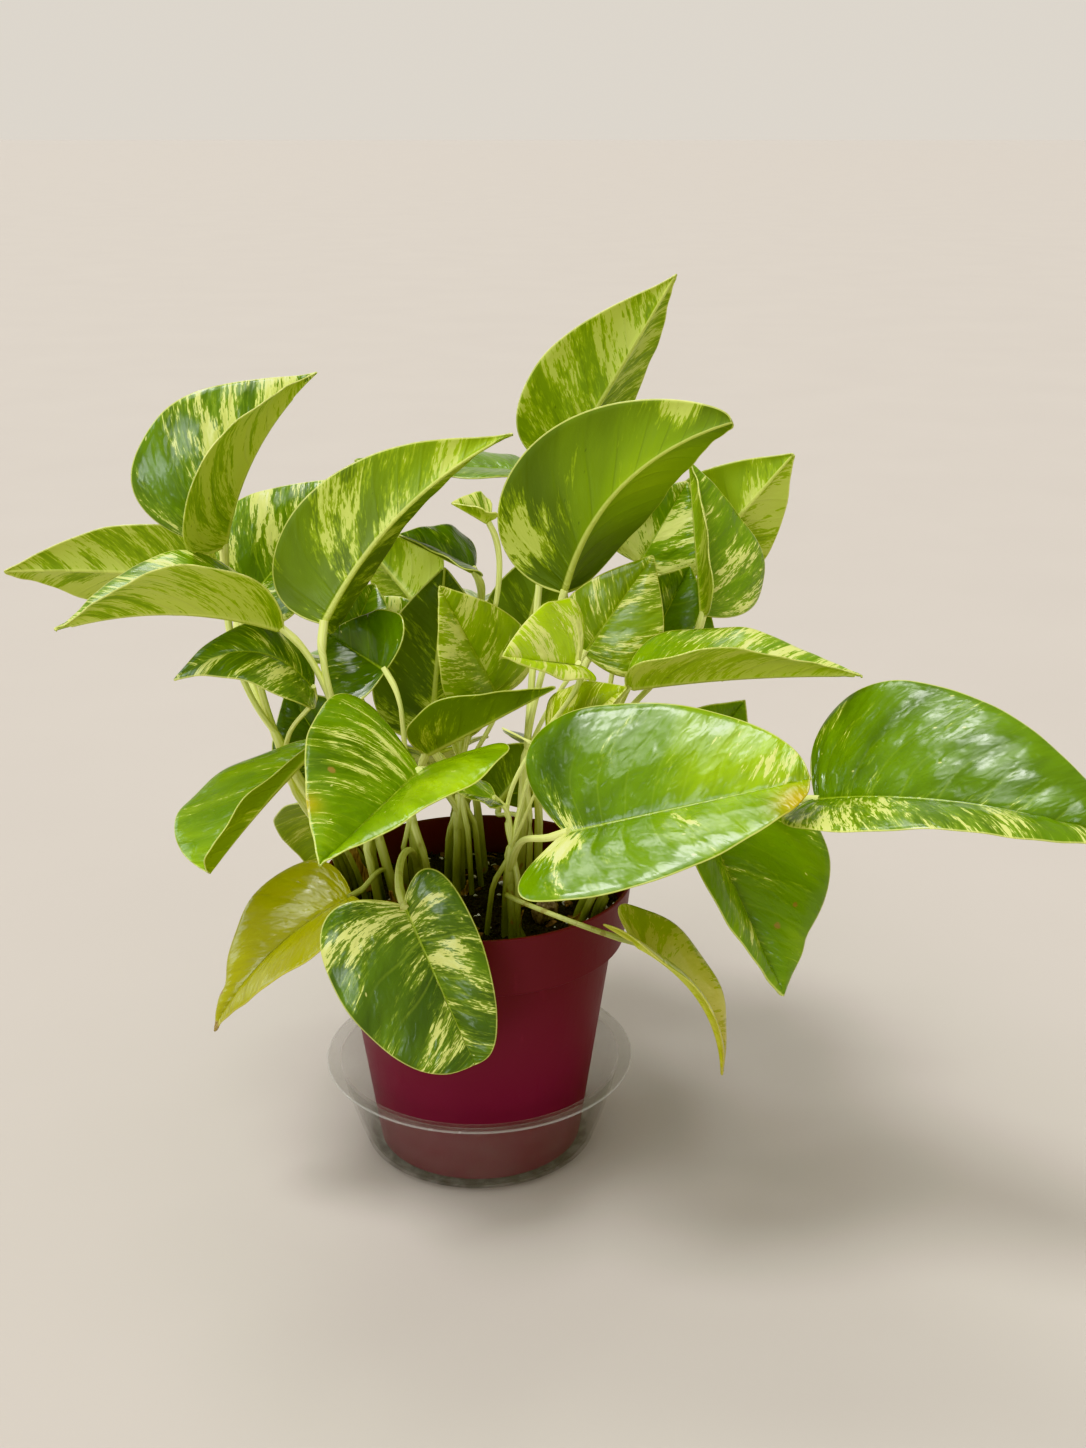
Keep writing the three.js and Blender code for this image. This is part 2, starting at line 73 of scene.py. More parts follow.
def apply_modifier(piece, modifier):
    graph = bpy.context.evaluated_depsgraph_get()
    made = bpy.data.meshes.new_from_object(piece.evaluated_get(graph), depsgraph=graph)
    piece.modifiers.remove(modifier)
    piece.data = made


# %% [markdown]
# ## The camera
#
# The photograph looks a little down on the plant from the front. Its view was worked out from the
# two ellipses of known shape in it, the pot's rim and the saucer's rim. A lens on a sensor as long
# as the picture's long side keeps that view at any render size.

# %% Camera
PICTURE_WIDTH = 1086
PICTURE_HEIGHT = 1448
FOCAL_PIXELS = 1750
LOOK_DOWN = math.radians(19.25)
CAMERA_PLACE = Vector((27.6, -675.3, 426.3)) * MM
SENSOR = 36.0

camera = linked("camera", bpy.data.cameras.new("camera"))
camera.data.sensor_fit = "VERTICAL"
camera.data.sensor_height = SENSOR
camera.data.sensor_width = SENSOR * PICTURE_WIDTH / PICTURE_HEIGHT
camera.data.lens = SENSOR * FOCAL_PIXELS / PICTURE_HEIGHT
camera.location = CAMERA_PLACE
camera.rotation_euler = (math.pi / 2 - LOOK_DOWN, 0, 0)
bpy.context.scene.camera = camera
print("lens", round(camera.data.lens, 2), "mm")

# %% [markdown]
# ## Shader and geometry nodes written as sums
#
# A material is easier to read as arithmetic than as a list of links. `Wire` stands for one output
# socket, and adding or multiplying wires adds the Math node that does it. `Nodes.node` makes any
# other node from its type, its settings and the values or wires of its inputs. The same two classes
# serve material trees and Geometry Nodes trees.

# %% Wires and nodes
class Wire:
    """One output socket of a node tree, with arithmetic on it."""

    def __init__(self, nodes, socket):
        self.nodes = nodes
        self.socket = socket

    def __getitem__(self, name):
        return Wire(self.nodes, self.socket.node.outputs[name])

    def __add__(self, other):
        return self.nodes.math("ADD", self, other)

    def __sub__(self, other):
        return self.nodes.math("SUBTRACT", self, other)

    def __rsub__(self, other):
        return self.nodes.math("SUBTRACT", other, self)

    def __mul__(self, other):
        return self.nodes.math("MULTIPLY", self, other)

    def __abs__(self):
        return self.nodes.math("ABSOLUTE", self)

    def __gt__(self, other):
        return self.nodes.math("GREATER_THAN", self, other)

    __radd__ = __add__
    __rmul__ = __mul__


class Nodes:
    """A node tree that grows by one method, and short names for the nodes used most."""

    def __init__(self, tree):
        self.tree = tree

    def node(self, kind, settings=None, values=None, out=0):
        made = self.tree.nodes.new(kind)
        for name, value in (settings or {}).items():
            setattr(made, name, value)
        for key, value in (values or {}).items():
            self.feed(made.inputs[key], value)
        return Wire(self, made.outputs[out]) if made.outputs else made

    def geometry(self, kind, values=None, **settings):
        return self.node("GeometryNode" + kind, settings, values)

    def feed(self, socket, value):
        if isinstance(value, Wire):
            self.tree.links.new(value.socket, socket)
        else:
            socket.default_value = value

    def math(self, operation, *terms):
        return self.node("ShaderNodeMath", {"operation": operation}, dict(enumerate(terms)))

    def step(self, value, low, high, start=0.0, end=1.0):
        """A smooth step from start to end while value goes from low to high."""
        values = {"Value": value, "From Min": low, "From Max": high, "To Min": start, "To Max": end}
        return self.node("ShaderNodeMapRange", {"interpolation_type": "SMOOTHSTEP"}, values)

    def blend(self, share, first, second):
        """A mix of two colours."""
        values = {0: share, 6: first, 7: second}
        return self.node("ShaderNodeMix", {"data_type": "RGBA"}, values, out=2)

    def layered(self, base, layers):
        """Colours laid over a base one after another, each by its own share."""
        for share, over in layers:
            base = self.blend(share, base, over)
        return base

    def scaled(self, vector, scale, shift=(0, 0, 0)):
        values = {"Vector": vector, "Scale": scale, "Location": shift}
        return self.node("ShaderNodeMapping", None, values)

    def times(self, vector, factor):
        return self.node("ShaderNodeVectorMath", {"operation": "SCALE"}, {0: vector, "Scale": factor})

    def parts(self, vector):
        return self.node("ShaderNodeSeparateXYZ", None, {"Vector": vector})

    def away(self, parts):
        """How far a place is from the axis or from a spot's middle, by its X and Y."""
        return self.math("SQRT", parts["X"] * parts["X"] + parts["Y"] * parts["Y"])

    def noise(self, vector, scale=1.0, detail=2.0, roughness=0.5, distortion=0.0):
        values = {"Vector": vector, "Scale": scale, "Detail": detail, "Roughness": roughness}
        return self.node("ShaderNodeTexNoise", None, {**values, "Distortion": distortion})

    def attribute(self, name, out="Fac"):
        return self.node("ShaderNodeAttribute", {"attribute_name": name}, out=out)

    def object_place(self):
        return self.node("ShaderNodeTexCoord", out="Object")

    def bump(self, height, millimetres):
        values = {"Height": height, "Distance": millimetres * MM, "Strength": 1.0}
        return self.node("ShaderNodeBump", None, values)


def colour(red, green, blue):
    """A colour as it is read off a screen, 0 to 255, turned into the light that shaders use."""
    shares = [c / 255 for c in (red, green, blue)]
    light = [((c + 0.055) / 1.055) ** 2.4 if c > 10 / 255 else c / 12.92 for c in shares]
    return (*light, 1.0)


def new_material(name, **settings):
    """A material, its nodes and a call that feeds its Principled shader."""
    material = bpy.data.materials.new(name)
    material.use_nodes = True
    nodes = Nodes(material.node_tree)
    shader = material.node_tree.nodes["Principled BSDF"]

    def finish(**values):
        for key, value in values.items():
            nodes.feed(shader.inputs[key.replace("_", " ")], value)
        return material

    finish(**settings)
    return nodes, finish


# %% [markdown]
# ## Floor and light
#
# A plain pale floor and soft light stand in for the room. A leaf's sheen shows where the light is:
# the near-white gleam on the big front leaf's lower half comes from almost straight above, the one
# along arching leaves from behind, the paler one on upper halves from above in front, and the
# bluish one on upright leaves from a window in front and one low on the left. A wide sun lamp in
# each of these directions lights the plant and the whole floor alike, so no edge of a lamp's pool
# shows. The studio around it is a little brighter near the horizon, so that the backdrop goes on
# where the floor ends.

# %% Floor, lights and world
FLOOR_REACH = 30000
FLOOR_Z = -0.3


def stage_floor():
    signs = ((-1, -1), (1, -1), (1, 1), (-1, 1))
    corners = [(x * FLOOR_REACH, y * FLOOR_REACH, FLOOR_Z) for x, y in signs]
    floor = linked("floor", new_mesh("floor", corners, [(0, 1, 2, 3)], smooth=False))
    nodes, finish = new_material("pale_floor", Roughness=0.8)
    grain = nodes.noise(nodes.object_place(), 6.0, detail=3)
    shade = nodes.blend(grain, colour(190, 184, 176), colour(195, 189, 181))
    floor.data.materials.append(finish(Base_Color=shade))


def soft_sun(name, direction, wide, strength, tint):
    """A sun lamp that stands in a direction and is as wide, in degrees, as a lit window is."""
    data = bpy.data.lights.new(name, "SUN")
    data.angle = math.radians(wide)
    data.energy = strength
    data.color = tint
    linked(name, data).rotation_euler = Vector(direction).to_track_quat("Z", "Y").to_euler()


stage_floor()
soft_sun("overhead", (-0.3, -0.14, 0.94), 17, 1.25, (1.0, 0.98, 1.0))
soft_sun("behind_above", (-0.25, 0.46, 0.85), 22, 0.65, (1.0, 0.99, 0.96))
soft_sun("front_above", (-0.25, -0.45, 0.86), 36, 0.9, (0.99, 1.0, 0.97))
soft_sun("left_window", (-0.85, 0.2, 0.3), 30, 0.5, (0.8, 0.91, 1.0))
soft_sun("front_window", (-0.32, -0.94, 0.08), 20, 0.6, (0.88, 0.95, 1.0))

world = bpy.data.worlds.new("studio")
bpy.context.scene.world = world
world.use_nodes = True
sky = Nodes(world.node_tree)
way = sky.parts(sky.node("ShaderNodeTexCoord", out="Generated"))
backdrop = world.node_tree.nodes["Background"]
backdrop.inputs["Color"].default_value = (0.98, 0.922, 0.83, 1)
sky.feed(backdrop.inputs["Strength"], sky.step(abs(way["Z"]), 0.06, 0.4, 0.78, 0.58))
bpy.context.scene.view_settings.view_transform = "Khronos PBR Neutral"

# %% [markdown]
# ## The stems' lines
#
# Nine short stems stand in the soil, and every leaf hangs on a stalk, its petiole, that leaves one
# of them. A stem is a smooth curve through a few points. The curve is the centripetal kind, which
# never loops between points that lie unevenly far apart.

# %% Stem points and curves
FOOT_Z = 82
FOOT_HEIGHT = 16
LOWEST_NODE = 0.45
NODE_SPAN = 0.54
STEMS = {
    "a": [(-48, 3, 114), (-56, 2, 138), (-73, 2, 164), (-84, 3, 188)],
    "b": [(-33, -16, 114), (-38, -17, 140), (-43, -18, 160)],
    "c": [(-23, -2, 114), (-25, -5, 135), (-27, -8, 155)],
    "d": [(-8, 10, 114), (-8, 9, 138), (-7, 8, 158)],
    "e": [(13, -31, 114), (14, -31, 135), (15, -30, 150)],
    "f": [(17, 1, 114), (19, -2, 150), (21, -6, 182)],
    "g": [(42, -24, 114), (47, -27, 128), (53, -31, 140)],
    "h": [(40, 16, 114), (44, 16, 140), (50, 14, 170)],
    "i": [(-6, 38, 114), (-7, 40, 140), (-8, 41, 162)],
}


def unit(vectors):
    return vectors / np.linalg.norm(vectors, axis=-1, keepdims=True)


def stem_point(stem, t):
    """The point of a stem's axis at t, 0 at its buried foot and 1 at its top."""
    x, y, _ = STEMS[stem][0]
    points = np.array([(x, y, FOOT_Z), (x, y, FOOT_Z + FOOT_HEIGHT), *STEMS[stem]], float)
    points = np.vstack([2 * points[0] - points[1], points, 2 * points[-1] - points[-2]])
    place = min(t, 0.999999) * (len(points) - 3)
    i = int(place)
    before, start, end, after = points[i:i + 4]
    in_gap, gap, out_gap = np.linalg.norm(np.diff(points[i:i + 4], axis=0), axis=1) ** 0.5
    first = (start - before) / in_gap - (end - before) / (in_gap + gap) + (end - start) / gap
    last = (end - start) / gap - (after - start) / (gap + out_gap) + (after - end) / out_gap
    first, last = first * gap, last * gap
    w = place - i
    curve = start + first * w + (3 * (end - start) - 2 * first - last) * w ** 2
    return curve + (2 * (start - end) + first + last) * w ** 3


def stem_way(stem, t, reach=0.001):
    return unit(stem_point(stem, min(t + reach, 1)) - stem_point(stem, t - reach))


def stem_node(height):
    """Where on the stem's line a petiole leaves: a share of the stem's height above the soil."""
    return LOWEST_NODE + NODE_SPAN * height


print(len(STEMS), "stems; stem a's top at", np.round(stem_point("a", 1), 1))

# %% [markdown]
# ## The leaves' table
#
# Each row gives a leaf's stem, how high on it the petiole leaves, the blade's base and tip, the way
# its upper face looks, and the widths of its two halves. The words after these shape the blade:
# `arch` and `sway` bend the midrib, `fold` lifts the two halves towards the face in degrees, `lobe`
# deepens the heart's notch and `uneven` its second lobe, `skew` moves the widest place, `taper`
# draws out the tip, `point` sharpens its end, `blunt` rounds it, `bites` are dents in the margin and
# `bow` moves the petiole's middle. `bulge` and `quilt` are the heights of its swelling. The last
# words are its colours: how much `cream` each half has, how `light` the green is and how `yellow`
# the leaf has turned. A `patch` adds one of these at a place on the blade, given as a share of the
# half's width and of its length, with a size in millimetres. `under` adds to the under face's cream
# and lightness, and a higher `grain` makes the streaks finer. One number for a word that speaks of
# halves stands for both of them.

# %% Leaf table
PLAIN = dict(
    arch=0, sway=0, fold=15, lobe=0.12, uneven=0, skew=0.3, taper=0.5, point=0.5, blunt=0,
    bow=(0, 0, 0), bites=(), bulge=2.2, quilt=0.5, look="green", cream=0.1, light=0.5, yellow=0.0,
    patches=(), spots=(), under=0, grain=1,
)


def leaf(name, stem, height, base, tip, face, halves, **words):
    row = dict(name=name, stem=stem, height=height, base=base, tip=tip, face=face, halves=halves)
    row = {**row, **PLAIN, **words}
    for word in ("halves", "fold", "cream", "under"):
        row[word] = np.array(row[word], float) * np.ones(2)
    return row


LEAVES = [
    leaf("left_high", "a", 1, (-100, 10, 262), (-61, 22, 330), (-73, -57, 37), (43, 42), look="marbled",
         arch=8, fold=55, lobe=0.05, taper=0.8, bow=(-6, -12, 0), cream=(0.3, 0.46), light=0.3,
         under=(0.04, 0.24), grain=1.3,
         # Painted sheen: the second cream patch, at -0.25 and 0.5, brightens the middle of the left
         # half.
         patches=[("cream", -0.75, 0.3, 16, -0.25), ("cream", -0.25, 0.5, 15, 0.44),
                  ("cream", -0.4, 0.85, 14, 0.15)]),
    leaf("far_left", "a", 0.9, (-108, 22, 245), (-190, 10, 252), (-10, 85, 45), (23, 30), look="olive",
         arch=3, cream=(0.46, 0.52), light=0.5, grain=1.6),
    leaf("left_arching", "b", 1, (-72, -30, 239), (-153, -55, 246), (0, -5, 100), 34,
         look="marbled", arch=7, fold=(48, 26), lobe=-0.15, taper=0.75, cream=(0.42, 0.36), light=0.35,
         under=(0.1, 0.14), grain=1.4),
    leaf("left_low", "a", 0.8, (-63, -20, 212), (-115, -35, 220), (0, -50, 85), (19, 17), look="marbled",
         arch=19, fold=(0, 5), lobe=0.1, cream=(0.33, 0.28), light=0.25, grain=1.5),
    leaf("left_tall", "b", 1, (-57, -25, 240), (16, 20, 306), (5, 100, -10), (32, 33), look="olive",
         sway=9, fold=(80, 8), lobe=0.1, taper=0.8, cream=(0.3, 0.1), light=0.2,
         patches=[("cream", 0.4, 0.75, 26, 0.36), ("cream", 0.75, 0.45, 16, 0.2),
                  # Painted light: the light patch brightens the right half towards the tip, as light
                  # through the blade.
                  ("light", 0.4, 0.85, 28, 0.5)]),
    leaf("left_behind", "a", 1, (-100, 38, 228), (-53, 54, 282), (-30, -60, 70), 37,
         fold=20, cream=0.4, light=0.3),
    leaf("left_glossy", "c", 1, (-35, -12, 217), (-61, 14, 225), (-20, -80, 50), 23,
         look="marbled", fold=20, lobe=0.3, cream=(0.12, 0.03), light=0.2),
    leaf("front_left", "c", 1, (-20, -45, 187), (-50, -120, 180), (-25, -45, 85), (40, 44),
         fold=(16, 40), lobe=0.45, cream=(0.04, 0.12), light=0.62, spots=[(0.62, 0.6, 1.7)],
         grain=3,
         patches=[("yellow", 1.0, 0.8, 5, 0.9), ("cream", 0.3, 0.2, 18, 0.26),
                  ("cream", 0.6, 0.4, 14, 0.12), ("light", 0.6, 0.5, 30, -0.42),
                  ("light", -0.5, 0.5, 26, 0.2)]),
    leaf("left_lower", "b", 0.9, (-60, -20, 190), (-101, -60, 150), (-50, -60, 60), (14, 30),
         arch=2, fold=(70, 5), lobe=0, skew=-0.5, taper=0.1, point=0, blunt=0.3, cream=(0.05, 0.06),
         light=0.6),
    leaf("left_yellowed", "b", 0.4, (-49, -38, 131), (-104, -55, 79), (-50, -50, 70), (26, 24),
         look="yellowed", arch=9, fold=20, skew=0.5, cream=0, yellow=0.62,
         spots=[(-0.3, 0.97, 2.5), (0.9, 0.83, 2)], bites=[(1, 0.8, 0.05, 0.3)]),
    leaf("front_heart", "c", 0.4, (-25, -74, 144), (2, -88, 83), (0, -95, 30), (23, 38), look="marbled",
         fold=8, lobe=0.45, skew=0, taper=0.2, point=0, blunt=0.22, cream=(0.22, 0.24),
         light=0.2, grain=1.45,
         patches=[("cream", 0.7, 0.2, 13, 0.2), ("cream", -0.3, 0.2, 12, 0.22),
                  ("cream", -0.6, 0.5, 12, 0.2), ("cream", 0.15, 0.75, 12, 0.2),
                  ("cream", 0.5, 0.62, 14, -0.15)]),
    leaf("front_big", "e", 0.6, (36, -85, 178), (123, -95, 203), (0, -75, 65), (46, 37), fold=(5, 30),
         lobe=0.4, uneven=0.15, skew=0.1, taper=0.3, point=0.1, blunt=0.2, cream=0.02,
         quilt=0.8,
         patches=[("cream", -0.35, 0.88, 14, 0.33), ("cream", 0.45, 0.02, 12, 0.75),
                  ("yellow", 0.9, 0.95, 8, 1.1), ("light", -0.6, 0.1, 34, -0.3),
                  ("light", -0.4, 0.85, 30, 0.25)]),
    leaf("right_big", "g", 1, (129, -70, 185), (237, -120, 186), (0, -60, 80), (47, 31), arch=12,
         fold=(12, 32), lobe=0.2, bow=(0, 0, 40), cream=(0.02, 0.36), light=0.32, quilt=1.0, grain=1.5,
         patches=[("cream", -0.9, 0.1, 12, 0.3)]),
    leaf("right_drooping", "g", 0.9, (87, -60, 176), (117, -95, 116), (35, -80, 50), (46, 26),
         fold=(5, 40), skew=0, taper=0.72, cream=(0.02, 0.03), light=0.52,
         spots=[(-0.3, 0.72, 1.3), (-0.55, 0.66, 0.9)], bites=[(0, 0.8, 0.05, 0.12)],
         patches=[("cream", 0.45, 0.35, 13, 0.4), ("cream", 0.4, 0.7, 11, 0.34)]),
    leaf("right_curled", "e", 0.4, (62, -86, 134), (95, -97, 84), (70, -30, 60), (16, 20),
         look="yellowed", arch=10, fold=(25, 35), lobe=0.5, bow=(-14, -24, -8), cream=(0.46, 0.5),
         light=0.8, yellow=0.36,
         patches=[("yellow", 0, 0.9, 22, 0.4), ("cream", 0, 0.15, 20, 0.14)]),
    leaf("top", "f", 1, (35, 35, 289), (80, 30, 367), (-10, 95, 30), (30, 31), look="olive",
         fold=(45, 10), skew=0.2, taper=0.56, point=0.75, cream=(0.4, 0.44), light=0.42),
    leaf("top_big", "f", 1, (36, -5, 247), (98, -30, 319), (5, 97, -10), (36, 37), look="olive", sway=13,
         fold=(60, 5), lobe=0.03, point=0.1, blunt=0.3, cream=0, light=0.12,
         patches=[("cream", 0.75, 0.12, 13, 0.7), ("cream", 0.9, 0.86, 9, 0.6),
                  # Painted light: these two light patches brighten the tip side and the left half that
                  # the fold shades.
                  ("light", 0.4, 0.75, 26, 0.12), ("light", -0.5, 0.6, 30, 0.5)]),
    leaf("back_level", "i", 1, (18, 62, 283), (-53, 62, 287), (0, -5, 100), 25, fold=5,
         cream=0.02, light=0.4),
    leaf("baby", "d", 1, (6, -5, 276), (-8, -12, 285), (0, -40, 90), 10, look="marbled",
         fold=(50, 40), cream=0.52, light=0.6, bulge=0.8, grain=1.6),
    leaf("mid_right", "f", 0.9, (44, -12, 224), (71, -6, 263), (10, -90, 40), (18, 25), look="marbled",
         fold=0, cream=0.3, light=0.42, yellow=0.1, grain=1.7),
    leaf("centre_bright", "e", 1, (41, -40, 228), (12, -65, 239), (0, -30, 95), (10, 26), look="marbled",
         fold=(-10, 50), lobe=0.4, bow=(-16, 0, 0), cream=0.42, light=1.0, yellow=0.08, grain=1.5),
    leaf("centre_yellow", "e", 0.9, (30, -28, 193), (60, -45, 221), (-30, -50, 80), (18, 25),
         look="yellowed", fold=(10, 20), cream=0.36, light=0.7, yellow=0.2, grain=1.5, quilt=0.8),
    leaf("centre_pale", "d", 1, (9, 8, 200), (-13, -12, 252), (30, -85, 40), 23, look="marbled",
         skew=0.2, cream=(0.33, 0.36), light=0.65, yellow=0.12),
    leaf("centre_tall", "d", 0.9, (-19, 10, 181), (-13, 30, 249), (0, 95, 10), 28, look="olive",
         fold=8, skew=0.1, cream=0.14, light=0.12,
         patches=[("cream", 0.0, 0.1, 22, 0.3)]),
    leaf("small_upright", "c", 0.8, (-54, 34, 216), (-44, 50, 237), (0, -90, 40), 17,
         look="marbled", fold=20, cream=0.3, light=0.3),
    leaf("centre_glossy", "i", 1, (-1, 30, 247), (-32, 24, 264), (0, -30, 90), (28, 22), fold=(30, 8),
         bow=(-14, 16, 0), cream=0, light=0.15),
    leaf("back_pale", "i", 0.8, (-26, 52, 226), (-52, 76, 250), (0, 90, 30), 23, look="olive",
         cream=(0.48, 0.42), light=0.6),
    leaf("back_low_pale", "i", 0.8, (-34, 38, 208), (-58, 56, 228), (0, -90, 40), 21,
         look="olive", cream=0.45, light=0.4),
    leaf("back_shaded", "i", 0.9, (20, 36, 214), (30, 46, 256), (0, 90, 30), (18, 20), look="olive",
         cream=0.2, light=0.2),
    leaf("right_pointed", "h", 1, (92, 5, 235), (87, 30, 293), (60, -70, 30), (24, 34), look="marbled",
         fold=(58, 8), skew=0.2, cream=(0.3, 0.18), light=0.52,
         patches=[("cream", 0.45, 0.3, 15, 0.2)]),
    leaf("far_right_high", "h", 1, (94, 42, 249), (132, 48, 293), (10, 90, 30), 27,
         fold=20, cream=(0.56, 0.14), light=0.6),
    leaf("right_marbled", "h", 0.9, (68, 40, 248), (88, 45, 282), (-10, -90, 40), 25,
         look="marbled", cream=(0.42, 0.4), light=0.45),
    leaf("right_shaded", "h", 0.8, (70, 14, 217), (88, 22, 252), (20, -90, 40), 25,
         fold=(25, 15), cream=(0.12, 0.16), light=0.35),
    leaf("right_arching", "g", 1, (60, -40, 219), (148, -50, 227), (0, -5, 100), (30, 27), arch=2,
         fold=(25, 45), lobe=0.05, taper=0.7, cream=(0.44, 0.4), light=0.6, under=0.12, grain=1.3,
         patches=[("cream", -0.5, 0.15, 20, -0.25)]),
    leaf("right_tucked", "h", 0.5, (89, 10, 169), (110, 0, 201), (20, -80, 50), 21),
    leaf("centre_folded", "d", 0.7, (-20, -8, 180), (33, -20, 213), (-30, 50, 80), (16, 28),
         look="olive", fold=20, lobe=0.05, cream=(0.15, 0.12), light=0.3),
    leaf("centre_level", "e", 0.9, (9, -32, 170), (-8, -38, 176), (0, -10, 100), 14,
         fold=10, cream=0.3, bulge=1),
    leaf("centre_dark", "f", 0.5, (9, 26, 146), (28, 16, 177), (20, 80, 50), 21, light=0.2),
    leaf("left_shaded", "a", 0.6, (-60, 12, 170), (-80, 20, 199), (-20, -90, 30), 22, light=0.15),
    leaf("rear_left_high", "i", 1, (-42, 62, 192), (-105, 118, 170), (-40, 40, 80), 35, arch=8,
         cream=(0.3, 0.15)),
    leaf("rear_high", "i", 1, (-10, 62, 213), (6, 144, 200), (0, 30, 95), 38, look="marbled",
         arch=8, cream=(0.45, 0.35), light=0.4),
    leaf("rear_right_high", "h", 0.9, (48, 48, 205), (112, 105, 175), (40, 40, 80), 35, arch=8,
         cream=(0.15, 0.4)),
    leaf("rear_left_low", "i", 0.7, (-20, 48, 160), (-50, 112, 105), (-20, 70, 70), 33,
         look="marbled", arch=8, cream=(0.35, 0.5), light=0.3),
    leaf("rear_right_low", "i", 0.5, (32, 55, 160), (62, 118, 100), (20, 70, 70), 33, arch=8,
         cream=(0.2, 0.1), light=0.4),
    leaf("rear_right_side", "h", 0.6, (72, 30, 165), (140, 62, 150), (40, 30, 85), 31, arch=8,
         cream=(0.1, 0.25)),
    leaf("rear_left_side", "a", 0.4, (-52, 42, 140), (-82, 98, 80), (-40, 50, 70), 31, arch=8,
         cream=(0.25, 0.3), light=0.55),
]
print(len(LEAVES), "leaves")

# %% [markdown]
# ## One rule for every blade
#
# A pothos blade is a heart drawn out to a point, folded a little along its midrib. It could be a
# sculpted mesh that is copied and bent, but then all leaves look alike. Here a blade is a surface
# with its own coordinates: `u` runs across it in millimetres and `v` along it from base to tip. The
# midrib is a quadratic curve, each half leaves it at its own fold angle, and the outline is a
# formula of one angle, from the notch to the tip. The rows between midrib and margin then run the
# way the side veins do, which the marbling needs later.

# %% The blade's surface
class Blade:
    """A blade's midrib, the frame along it, and any point of its surface. Works on arrays."""

    def __init__(self, row):
        self.__dict__.update(row)
        self.base = np.array(self.base, float)
        self.tip = np.array(self.tip, float)
        self.face = unit(np.array(self.face, float))
        self.fold = np.radians(self.fold)
        along = unit(self.tip - self.base)
        up = unit(self.face - (self.face @ along) * along)
        self.middle = (self.base + self.tip) / 2
        self.middle += 2 * self.arch * up + 2 * self.sway * np.cross(along, up)
        self.length = np.linalg.norm(self.tip - self.base)

    def frame(self, v):
        t = np.clip(v, 0, 1)[..., None]
        start = 2 * (self.middle - self.base)
        end = 2 * (self.tip - self.middle)
        along = unit(start * (1 - t) + end * t)
        place = (1 - t) ** 2 * self.base + 2 * t * (1 - t) * self.middle + t ** 2 * self.tip
        place = place + start * (v[..., None] - t)
        up = unit(self.face - (along @ self.face)[..., None] * along)
        return place, along, up, np.cross(along, up)

    def at(self, u, v, lift):
        """The surface's point at u and v, raised by lift off the folded half."""
        place, _, up, side = self.frame(v)
        half = (u > 0).astype(int)
        reach = np.abs(u)
        angle = self.fold[half]
        ripple = (reach / self.halves[half]) ** 2 * np.sin(14 * v + 2.1 * half)
        across = np.sign(u) * (reach * np.cos(angle) - lift * np.sin(angle))
        above = reach * np.sin(angle) + ripple + lift * np.cos(angle)
        return place + side * across[..., None] + up * above[..., None]

    def outline(self, angle, half):
        """At an angle from 0, the notch, to pi, the tip: the margin's reach, and the places along
        the blade of the margin and of the rib on that row. The half is 0 or 1."""
        h = (1 - np.cos(angle)) / 2
        across = np.sin(angle) ** (1 - self.blunt * h) * (1 + self.skew * np.cos(angle))
        across = across * (1 - self.taper * h ** 3) * (1 - self.point * h ** 8)
        lobe = self.lobe + self.uneven * half
        return across, h - lobe * np.sin(angle) * (1 - h), h * (0.7 + 0.3 * h)

    def flat_place(self, share, h):
        """Where a share of a half's width at a share of the length lies on the flat blade."""
        half = int(share > 0)
        across, margin, rib = self.outline(np.arccos(1 - 2 * h), half)
        return share * across * self.halves[half], (rib + (margin - rib) * abs(share)) * self.length

    def tone(self, kind, start, flat):
        """A tone over the blade: its start value and the soft patches of that kind."""
        for what, share, h, size, amount in self.patches:
            if what == kind:
                gap = ((flat - self.flat_place(share, h)) ** 2).sum(axis=1)
                start = start + amount * np.exp(-gap / size ** 2)
        return start

    def arrival(self):
        """The way the petiole comes in: half from its stem, moved by the bow, half along the rib."""
        from_stem = stem_point(self.stem, stem_node(self.height)) + np.array(self.bow, float)
        return unit(unit(self.base - from_stem) + self.frame(np.array(0.0))[1])


BLADES = [Blade(row) for row in LEAVES]
print("longest blade", round(max(b.length for b in BLADES)), "mm")

# %% [markdown]
# ## Relief and thickness
#
# A blade isn't flat between rib and margin. Each half swells softly, the side veins pull fine
# creases into it, and the midrib is a groove above and a ridge below. All of that is geometry here,
# because highlights on a glossy leaf show every millimetre of it. Both faces follow the same middle
# surface, half a thickness away from it, and a rounded rim closes them.

# %% From a blade's rule to its mesh
THICKNESS = 0.55
ROW_STEP = 1.3
COLUMNS = 18
VEIN_STEP = 8.0
VEIN_SWEEP = 0.55
FEWEST_ROWS = 14
GROOVE_DEPTH = 0.35
RIDGE_HEIGHT = 1.25
RIM_REACH = 0.45
SPOTS = 2
FAR_SPOT = 99.0


def vein_count(number, reach, flow):
    """The place between side veins: a whole number on each vein, with uneven gaps."""
    uneven = 0.28 * np.sin(flow / 13 + 2 * number)
    return flow / VEIN_STEP + uneven + 0.14 * np.sin(reach / 6 + number)


def relief(blade, number, t, reach, flow, h):
    """The middle surface's height off the folded half, in mm."""
    size = max(blade.halves) / 40
    swell = blade.bulge * size * 4 * t * (1 - t) * np.sin(np.pi * np.clip(h, 0, 1)) ** 0.5
    count = vein_count(number, reach, flow)
    pillow = np.abs(np.sin(np.pi * count)) ** 0.9
    dent = 0.75 + 0.45 * np.sin(reach / 2.6 + 5 * np.floor(count))
    quilt = blade.quilt * size ** 0.5 * (pillow * dent - 0.5) * np.clip(t * 5, 0, 1) * (1 - t) ** 0.5
    drift = 0.9 * size * t ** 2 * np.sin(flow / 8 + 1.7 * number) * np.sin(reach / 9 + number)
    frill = 0.3 * t ** 4 * np.sin(flow / 2.6 + number) * np.sin(flow / 7.3 + 2 * number)
    return swell + quilt + drift + frill


